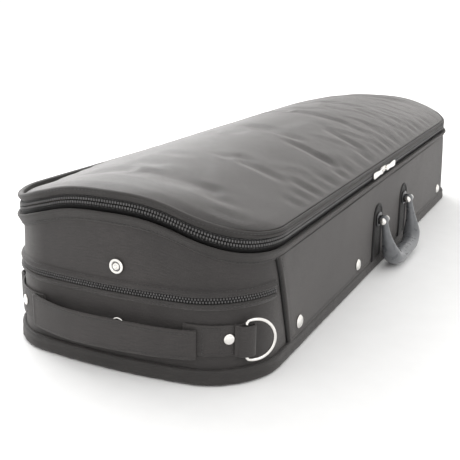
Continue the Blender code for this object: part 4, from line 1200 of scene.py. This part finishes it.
def make_bracket(name, centre):
    """A small riveted plate with two ears that carry the handle's pin."""
    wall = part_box(f"handle_bracket_{name}")[1].y
    half_x, low_z, high_z = 0.0085, centre.z - 0.0075, centre.z + 0.0085
    outline = []
    for index in range(36):
        angle = 2 * math.pi * index / 36
        a = math.copysign(abs(math.cos(angle)) ** 0.55, math.cos(angle)) * half_x
        b = math.copysign(abs(math.sin(angle)) ** 0.55, math.sin(angle)) * (high_z - low_z) / 2
        outline.append((centre.x + a, (low_z + high_z) / 2 + b))
    middle = np.mean(np.array(outline), axis=0)
    rows = []
    for scale, rise in ((1.0, -0.0002), (1.0, 0.0007), (0.96, 0.0011), (0.86, 0.0013),
                        (0.4, 0.0013)):
        rows.append([(middle[0] + (a - middle[0]) * scale, wall - rise, middle[1] + (b - middle[1]) * scale)
                     for a, b in outline])
    plate = grid_object(f"bracket_plate_{name}", np.array(rows), close_u=True)
    cap_ends(plate)
    place(plate, "base", "nickel", DARK_STEEL_AND_SHADE, f"handle_bracket_{name}")
    for side in (-1, 1):
        reach = wall - centre.y
        rows = []
        for offset, scale in ((-0.0007, 0.86), (-0.0005, 1.0), (0.0005, 1.0), (0.0007, 0.86)):
            ear = []
            for index in range(24):
                angle = math.pi * (index / 23 - 0.5)
                ear.append((centre.y - math.cos(angle) * 0.0036 * scale,
                            centre.z + math.sin(angle) * 0.0036 * scale))
            ear += [(wall, centre.z + 0.0040 * scale), (wall, centre.z - 0.0040 * scale)]
            x = centre.x + side * 0.0060 + offset
            rows.append([(x, max(y_, centre.y - reach), z_) for y_, z_ in ear])
        lug = grid_object(f"bracket_ear_{name}_{side + 1}", np.array(rows), close_u=True)
        cap_ends(lug)
        place(lug, "base", "nickel", DARK_STEEL_AND_SHADE)


def make_handle_tabs():
    """Tongue-shaped patches with a raised, sewn rim under each end of the handle."""
    for name in ("left", "right"):
        low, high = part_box(f"handle_tab_{name}")
        centre = (low.x + high.x) / 2
        half, top = (high.x - low.x) / 2, high.z
        shoulder = 0.068
        outline = [(-half, low.z)]
        outline += [(-half, z) for z in np.linspace(low.z, shoulder, 14)[1:-1]]
        for index in range(25):
            angle = math.pi * (1 - index / 24)
            outline.append((half * math.cos(angle), shoulder + (top - shoulder) * math.sin(angle)))
        outline += [(half, z) for z in np.linspace(shoulder, low.z, 14)[1:-1]]
        outline.append((half, low.z))
        outline = np.array(outline)
        middle = np.array([0.0, 0.045])
        rows = []
        for inset, rise in ((0.0, -0.0003), (0.0, 0.0012), (0.0006, 0.0020), (0.0016, 0.0024),
                            (0.0026, 0.0021), (0.0034, 0.0014), (0.0044, 0.0011), (0.0080, 0.0010)):
            way = outline - middle
            shrink = 1 - inset / np.array([half, 0.036])
            ring = middle + way * shrink
            rows.append(np.stack([centre + ring[:, 0], np.full(len(ring), high.y - rise), ring[:, 1]], 1))
        patch = grid_object(f"tongue_{name}", np.array(rows), close_u=True)
        cap_ends(patch)
        place(patch, "base", "webbing", PATCH, f"handle_tab_{name}")
        line = rows[6]
        place(stitches(f"tongue_{name}_stitches", [line], normal=(0, -1, 0)), "base", "webbing", THREADS)


# --- Lid ------------------------------------------------------------------------------------------

def lid_grid():
    """Plan positions of the lid's top as a four-sided patch between the plan's corner middles."""
    half_corner = CORNER_STEPS // 2
    start = COUNT - half_corner
    front = [(start + i) % COUNT for i in range(SIDE_STEPS + CORNER_STEPS + 1)]
    right_start = front[-1]
    right = [right_start + i for i in range(END_STEPS + CORNER_STEPS + 1)]
    back_start = right[-1]
    back = [(back_start + i) % COUNT for i in range(SIDE_STEPS + CORNER_STEPS + 1)][::-1]
    left_start = back[0]
    left = [(left_start + i) % COUNT for i in range(END_STEPS + CORNER_STEPS + 1)][::-1]
    x, y = plan_xy(RIM, 0.0004)
    lift = RIM + 0.0006 - SINK - crown_height(x, y)
    values = np.stack([x, y, lift], 1)
    low, high = values[front], values[back]
    west, east = values[left], values[right]
    u = np.linspace(0, 1, len(front))[None, :, None]
    v = np.linspace(0, 1, len(left))[:, None, None]
    sides = (1 - v) * low[None] + v * high[None] + (1 - u) * west[:, None] + u * east[:, None]
    corners = ((1 - u) * (1 - v) * low[0] + u * (1 - v) * low[-1] + (1 - u) * v * high[0]
               + u * v * high[-1])
    return sides - corners


def rim_distance(x, y):
    """Distance in from the rim of the lid's top."""
    radius = CORNER_R_BOTTOM + np.where(x < 0, CORNER_R_SLOPE[0], CORNER_R_SLOPE[1]) * 0.13
    corner = np.clip((np.abs(x) - (HALF_LENGTH - radius)) / radius, 0, 1)
    bow = END_BOW * corner * (1 - (y / HALF_WIDTH) ** 2)
    qx = np.abs(x) - bow - (HALF_LENGTH - radius)
    qy = np.abs(y) - (HALF_WIDTH - radius)
    outside = np.hypot(np.maximum(qx, 0), np.maximum(qy, 0)) + np.minimum(np.maximum(qx, qy), 0)
    return np.maximum(radius - outside, 0.0)


def fold(x, y, start, stop, width, height):
    """One soft crease from start to stop in plan, as a height to add."""
    start, stop = np.array(start), np.array(stop)
    way = stop - start
    length = np.hypot(*way)
    way = way / length
    along = (x - start[0]) * way[0] + (y - start[1]) * way[1]
    across = -(x - start[0]) * way[1] + (y - start[1]) * way[0]
    across = across + 0.004 * np.sin(along / length * 3.0 + start[0] * 40)
    fade = np.sin(math.pi * np.clip(along / length, 0.0, 1.0)) ** 0.9
    ridge = np.exp(-(across / width) ** 2)
    hollow = np.exp(-((across - 1.7 * width) / width) ** 2)
    return height * fade * (ridge - 0.6 * hollow)


# Creases of the padded top: start, stop, width and height
CREASES = (
    ((0.015, -0.112), (-0.030, -0.048), 0.0052, 0.0019),
    ((0.055, -0.110), (0.012, -0.040), 0.0060, 0.0018),
    ((0.100, -0.108), (0.058, -0.046), 0.0050, 0.0016),
    ((0.138, -0.108), (0.100, -0.036), 0.0062, 0.0019),
    ((0.180, -0.108), (0.150, -0.050), 0.0055, 0.0017),
    ((0.225, -0.104), (0.196, -0.030), 0.0060, 0.0018),
    ((0.262, -0.100), (0.240, -0.040), 0.0050, 0.0015),
    ((0.300, -0.090), (0.268, 0.000), 0.0065, 0.0014),
    ((-0.030, -0.110), (-0.085, -0.060), 0.0055, 0.0014),
    ((-0.090, -0.112), (-0.150, -0.066), 0.0060, 0.0013),
    ((-0.170, -0.112), (-0.240, -0.070), 0.0060, 0.0012),
    ((0.040, -0.020), (0.190, 0.016), 0.0110, 0.0018),
    ((-0.060, 0.030), (0.110, 0.060), 0.0120, 0.0012),
    ((0.160, 0.030), (0.290, 0.046), 0.0090, 0.0012),
    ((-0.330, -0.080), (-0.270, -0.020), 0.0080, 0.0010),
    ((-0.345, 0.030), (-0.250, 0.020), 0.0090, 0.0010),
    ((-0.120, -0.030), (0.000, -0.050), 0.0090, 0.0011),
    ((0.200, -0.060), (0.330, -0.030), 0.0080, 0.0012),
)


def lid_relief(x, y, depth):
    """Soft creases, puckers along the seam and the slow waves of the cloth over its padding."""
    inside = np.clip(depth / 0.03, 0, 1)
    relief = bumps(x * 6, y * 9, 0.0, 21.0) * 0.0014 * inside
    relief = relief + bumps(x * 19 + y * 9, y * 14, 3.0, 22.0) * 0.0007 * inside
    relief = relief + bumps(x * 70, y * 70, 1.0, 23.0) * 0.0004 * np.exp(-depth / 0.012) * (depth > 1e-5)
    held = np.clip(depth / 0.008, 0, 1)
    for start, stop, width, height in CREASES:
        relief = relief + fold(x, y, start, stop, width, height * CREASE_DEPTH) * held
    return relief


def every(count):
    """Every few sample indexes, with the last one always there."""
    chosen = np.arange(0, count, SETTLE_STEP)
    return chosen if chosen[-1] == count - 1 else np.append(chosen, count - 1)


def inflated(rest):
    """Where a grid of points ends when it is cloth under pressure with its border held."""
    sheet = grid_object("settling_cloth", rest)
    rows, columns = rest.shape[:2]
    border = [row * columns + column for row in range(rows) for column in range(columns)
              if row in (0, rows - 1) or column in (0, columns - 1)]
    sheet.vertex_groups.new(name="rim").add(border, 1.0, "REPLACE")
    cloth = sheet.modifiers.new("cloth", "CLOTH")
    settings = cloth.settings
    settings.quality = 6
    settings.mass = 0.3
    settings.tension_stiffness = 30
    settings.compression_stiffness = 30
    settings.shear_stiffness = 8
    settings.bending_stiffness = 0.4
    settings.use_pressure = True
    settings.uniform_pressure_force = SETTLE_PRESSURE
    settings.shrink_min = -0.012
    settings.vertex_group_mass = "rim"
    settings.effector_weights.gravity = 0.0
    cloth.collision_settings.use_collision = False
    cloth.point_cache.frame_start = 1
    cloth.point_cache.frame_end = SETTLE_FRAMES
    for number in range(1, SETTLE_FRAMES + 1):
        bpy.context.scene.frame_set(number)
    moved = sheet.evaluated_get(bpy.context.evaluated_depsgraph_get())
    after = np.array([vertex.co[:] for vertex in moved.data.vertices]).reshape(rest.shape)
    bpy.context.scene.frame_set(1)
    bpy.data.objects.remove(sheet, do_unlink=True)
    return after


def settle_cloth(x, y, z):
    """Inflates a coarse copy of the top with its rim held, and gives back how far the cloth moved."""
    rows, columns = every(x.shape[0]), every(x.shape[1])
    rest = np.stack([x, y, z], -1)[np.ix_(rows, columns)]
    shift = inflated(rest) - rest
    size = np.linalg.norm(shift, axis=-1, keepdims=True)
    shift = shift * np.minimum(1.0, SETTLE_CAP / np.maximum(size, 1e-9))
    full = np.zeros(x.shape + (3,))
    for axis in range(3):
        wide = np.array([np.interp(np.arange(x.shape[1]), columns, row) for row in shift[..., axis]])
        full[..., axis] = np.array([np.interp(np.arange(x.shape[0]), rows, column) for column in wide.T]).T
    return full


SINK = SEAM_SINK * np.clip((-LOOP_X - 0.215) / 0.10, 0, 1) * np.clip((LOOP_Y - 0.085) / 0.035, 0, 1)


def make_lid_top():
    """The padded top: drawn over the crown, inflated inside its seam and creased."""
    grid = lid_grid()
    x, y, lift = grid[..., 0], grid[..., 1], grid[..., 2]
    depth = rim_distance(x, y)
    fade = np.clip(1 - depth / 0.05, 0, 1) ** 1.5
    z = crown_height(x, y) + lift * fade + PUFF * (1 - np.exp(-depth / 0.006))
    points = np.stack([x, y, z], -1)
    points = points + settle_cloth(x, y, z)
    points[..., 2] += lid_relief(x, y, depth)
    run_u = np.linspace(-HALF_LENGTH, HALF_LENGTH, x.shape[1])
    run_v = np.linspace(-HALF_WIDTH, HALF_WIDTH, x.shape[0])
    top = grid_object("lid_top_cloth", points, (run_u, run_v))
    smooth = top.modifiers.new("finer", "SUBSURF")
    smooth.levels = smooth.render_levels = 1
    place(top, "lid", "nylon", LID_NYLON, "lid_cover")
    return top


def make_lid_edge():
    """The lid's rim: cloth folded over a cord, piped along the front, and turned in to the zip."""
    run = RUN[:-1]
    wave = (np.sin(run * 2 * math.pi / RIB_PITCH) * 0.5 + 0.5) ** 2
    ribs = wave * (0.6 + 0.5 * bumps(run * 90, 0.0, 0.0, 34.0))
    sway = bumps(run * 13, 0.0, 0.0, 32.0) * 0.0007
    piped = np.clip(-(LOOP_Y + 0.100) / 0.022, 0, 1)
    folded = [(-0.0006, 0.0003), (0.0006, 0.0008), (0.0018, 0.0010), (0.0032, 0.0008),
              (0.0044, 0.0001), (0.0050, -0.0009), (0.0048, -0.0021), (0.0040, -0.0035),
              (0.0029, -0.0050), (0.0018, -0.0063), (0.0008, -0.0073), (-0.0004, -0.0079),
              (-0.0014, -0.0080)]
    piping = [(-0.0006, -0.0004), (0.0002, -0.0008), (0.0010, -0.0001), (0.0022, 0.0005),
              (0.0032, 0.0001), (0.0036, -0.0010), (0.0030, -0.0020), (0.0024, -0.0024),
              (0.0036, -0.0030), (0.0041, -0.0040), (0.0036, -0.0050), (0.0018, -0.0056),
              (-0.0014, -0.0058)]
    rows = [(-0.0012, 0.0 - SINK - 0.0008), (-0.0002, 0.0002 - SINK * 0.75)]
    profile = [(out, RIM, above) for out, above in rows]
    for number, ((end_out, end_up), (pipe_out, pipe_up)) in enumerate(zip(folded, piping)):
        out = end_out + (pipe_out - end_out) * piped
        up = end_up + (pipe_up - end_up) * piped
        reach = np.maximum(out, 0.0) / 0.005
        pucker = ribs * 0.00034 * (1 - piped * 0.6) * (1.0 if 1 <= number <= 8 else 0.2)
        profile.append((out + sway * reach + pucker, RIM, up + sway * 0.3 * reach))
    edge = band("lid_edge_roll", profile, lift=True)
    place(edge, "lid", "nylon_trim", TRIM, "lid_welt")
    sewn = [loop_line(0.0050 - 0.0012 * piped, RIM, -0.0014)]
    place(stitches("lid_edge_stitches", sewn, closed=True), "lid", "nylon_trim", THREADS)


# --- Inside ---------------------------------------------------------------------------------------

def soften(node, name, voxel, rounds):
    """A plush-covered padded copy of a plain solid, with its edges rounded."""
    source = frame["nodes"][node]
    pad = bpy.data.objects.new(name, source.data.copy())
    bpy.context.scene.collection.objects.link(pad)
    remesh = pad.modifiers.new("remesh", "REMESH")
    remesh.mode = "VOXEL"
    remesh.voxel_size = voxel
    smooth = pad.modifiers.new("smooth", "SMOOTH")
    smooth.factor = 0.5
    smooth.iterations = rounds
    evaluated = pad.evaluated_get(bpy.context.evaluated_depsgraph_get())
    mesh = bpy.data.meshes.new_from_object(evaluated)
    pad.modifiers.clear()
    pad.data = mesh
    mesh.shade_smooth()
    body = source["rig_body"]
    place(pad, body, "plush", PLUSH, node)
    return pad


def make_inside():
    soften("violin_bed", "plush_bed", 0.004, 4)
    soften("neck_cradle", "plush_cradle", 0.0022, 4)
    soften("lid_lining", "plush_lining", 0.0012, 2)
    for name in ("front", "back"):
        soften(f"bow_loop_{name}", f"bow_loop_{name}_cloth", 0.0006, 2)
    strap = bpy.data.objects.new("neck_tie", frame["nodes"]["neck_strap"].data.copy())
    bpy.context.scene.collection.objects.link(strap)
    bevel = strap.modifiers.new("bevel", "BEVEL")
    bevel.width = 0.0007
    bevel.segments = 3
    place(strap, "base", "webbing", WEBBING, "neck_strap")
    hinges = [f"hinge_{part}_{number}" for part in ("leaf_base", "leaf_lid", "pin") for number in (1, 2)]
    kept = ((("base_shell", "lid_shell"), PLY), (hinges, STEEL),
            (("bow_clip_front", "bow_clip_back"), BLACK_PLASTIC))
    for nodes, material in kept:
        for node in nodes:
            data = frame["nodes"][node].data
            data.materials.clear()
            data.materials.append(material)


# --- Stage ----------------------------------------------------------------------------------------

CAMERA_SPOT = Vector((-0.96246, -0.37725, 0.32711))
CAMERA_YAW = math.radians(25.274)
CAMERA_PITCH = math.radians(16.650)
CAMERA_ROLL = math.radians(0.813)
CAMERA_LENS = 65.63


def make_camera():
    ahead = Vector((math.cos(CAMERA_YAW) * math.cos(CAMERA_PITCH),
                    math.sin(CAMERA_YAW) * math.cos(CAMERA_PITCH),
                    -math.sin(CAMERA_PITCH)))
    right = ahead.cross(Vector((0, 0, 1))).normalized()
    up = right.cross(ahead)
    cosine, sine = math.cos(CAMERA_ROLL), math.sin(CAMERA_ROLL)
    rolled_right = cosine * right + sine * up
    rolled_up = -sine * right + cosine * up
    data = bpy.data.cameras.new("camera")
    data.lens = CAMERA_LENS
    data.sensor_width = 36.0
    data.clip_start = 0.01
    camera = bpy.data.objects.new("camera", data)
    bpy.context.scene.collection.objects.link(camera)
    axes = Matrix((rolled_right, rolled_up, -ahead)).transposed().to_4x4()
    camera.matrix_world = Matrix.Translation(CAMERA_SPOT) @ axes
    bpy.context.scene.camera = camera


def add_area(name, spot, target, size, power, colour=(1, 1, 1)):
    data = bpy.data.lights.new(name, "AREA")
    data.shape = "RECTANGLE"
    data.size, data.size_y = size
    data.energy = power
    data.color = colour
    lamp = bpy.data.objects.new(name, data)
    bpy.context.scene.collection.objects.link(lamp)
    way = Vector(target) - Vector(spot)
    lamp.matrix_world = Matrix.Translation(Vector(spot)) @ way.to_track_quat("-Z", "Y").to_matrix().to_4x4()


def make_stage():
    """A white sweep, a bright even surround and soft light from above and behind on the left."""
    sweep = []
    for along, height in ((-3.0, 0.0), (2.4, 0.0), (3.0, 0.08), (3.5, 0.35), (3.8, 0.9), (3.9, 3.0)):
        sweep.append([(along, across, height - 0.0002) for across in np.linspace(-4.5, 4.5, 9)])
    floor = grid_object("floor", np.array(sweep), flip=True)
    floor.rotation_euler = (0, 0, CAMERA_YAW)
    material, tree, shader = new_material("floor_white")
    paper = noise_node(tree, coordinates(tree, False, 1.0), 40.0, 4.0)
    paint(tree, shader, paper, (1.0, 1.0, 1.0), (0.3, 0.93), (0.7, 0.95))
    shader.inputs["Roughness"].default_value = 0.7
    floor.data.materials.append(material)
    world = bpy.data.worlds.new("surround")
    world.use_nodes = True
    background = world.node_tree.nodes["Background"]
    background.inputs["Color"].default_value = (1.0, 0.995, 0.985, 1.0)
    background.inputs["Strength"].default_value = 1.15
    bpy.context.scene.world = world
    bpy.context.scene.view_settings.view_transform = "Standard"
    add_area("key", (0.9, 1.6, 1.15), (0.05, 0.05, 0.14), (2.2, 1.1), 44)
    add_area("fill", (-1.6, -1.6, 1.4), (0.0, 0.0, 0.05), (1.5, 1.5), 6)


def main():
    make_camera()
    make_base_cover()
    make_base_lip()
    make_hem()
    make_bottom()
    make_main_zip()
    make_pocket_zip()
    make_front_panel()
    make_panel_shadow_line()
    make_strap()
    make_d_rings()
    make_studs()
    make_snaps()
    make_sliders()
    make_handle()
    make_handle_tabs()
    make_lid_top()
    make_lid_edge()
    make_inside()
    make_stage()


main()
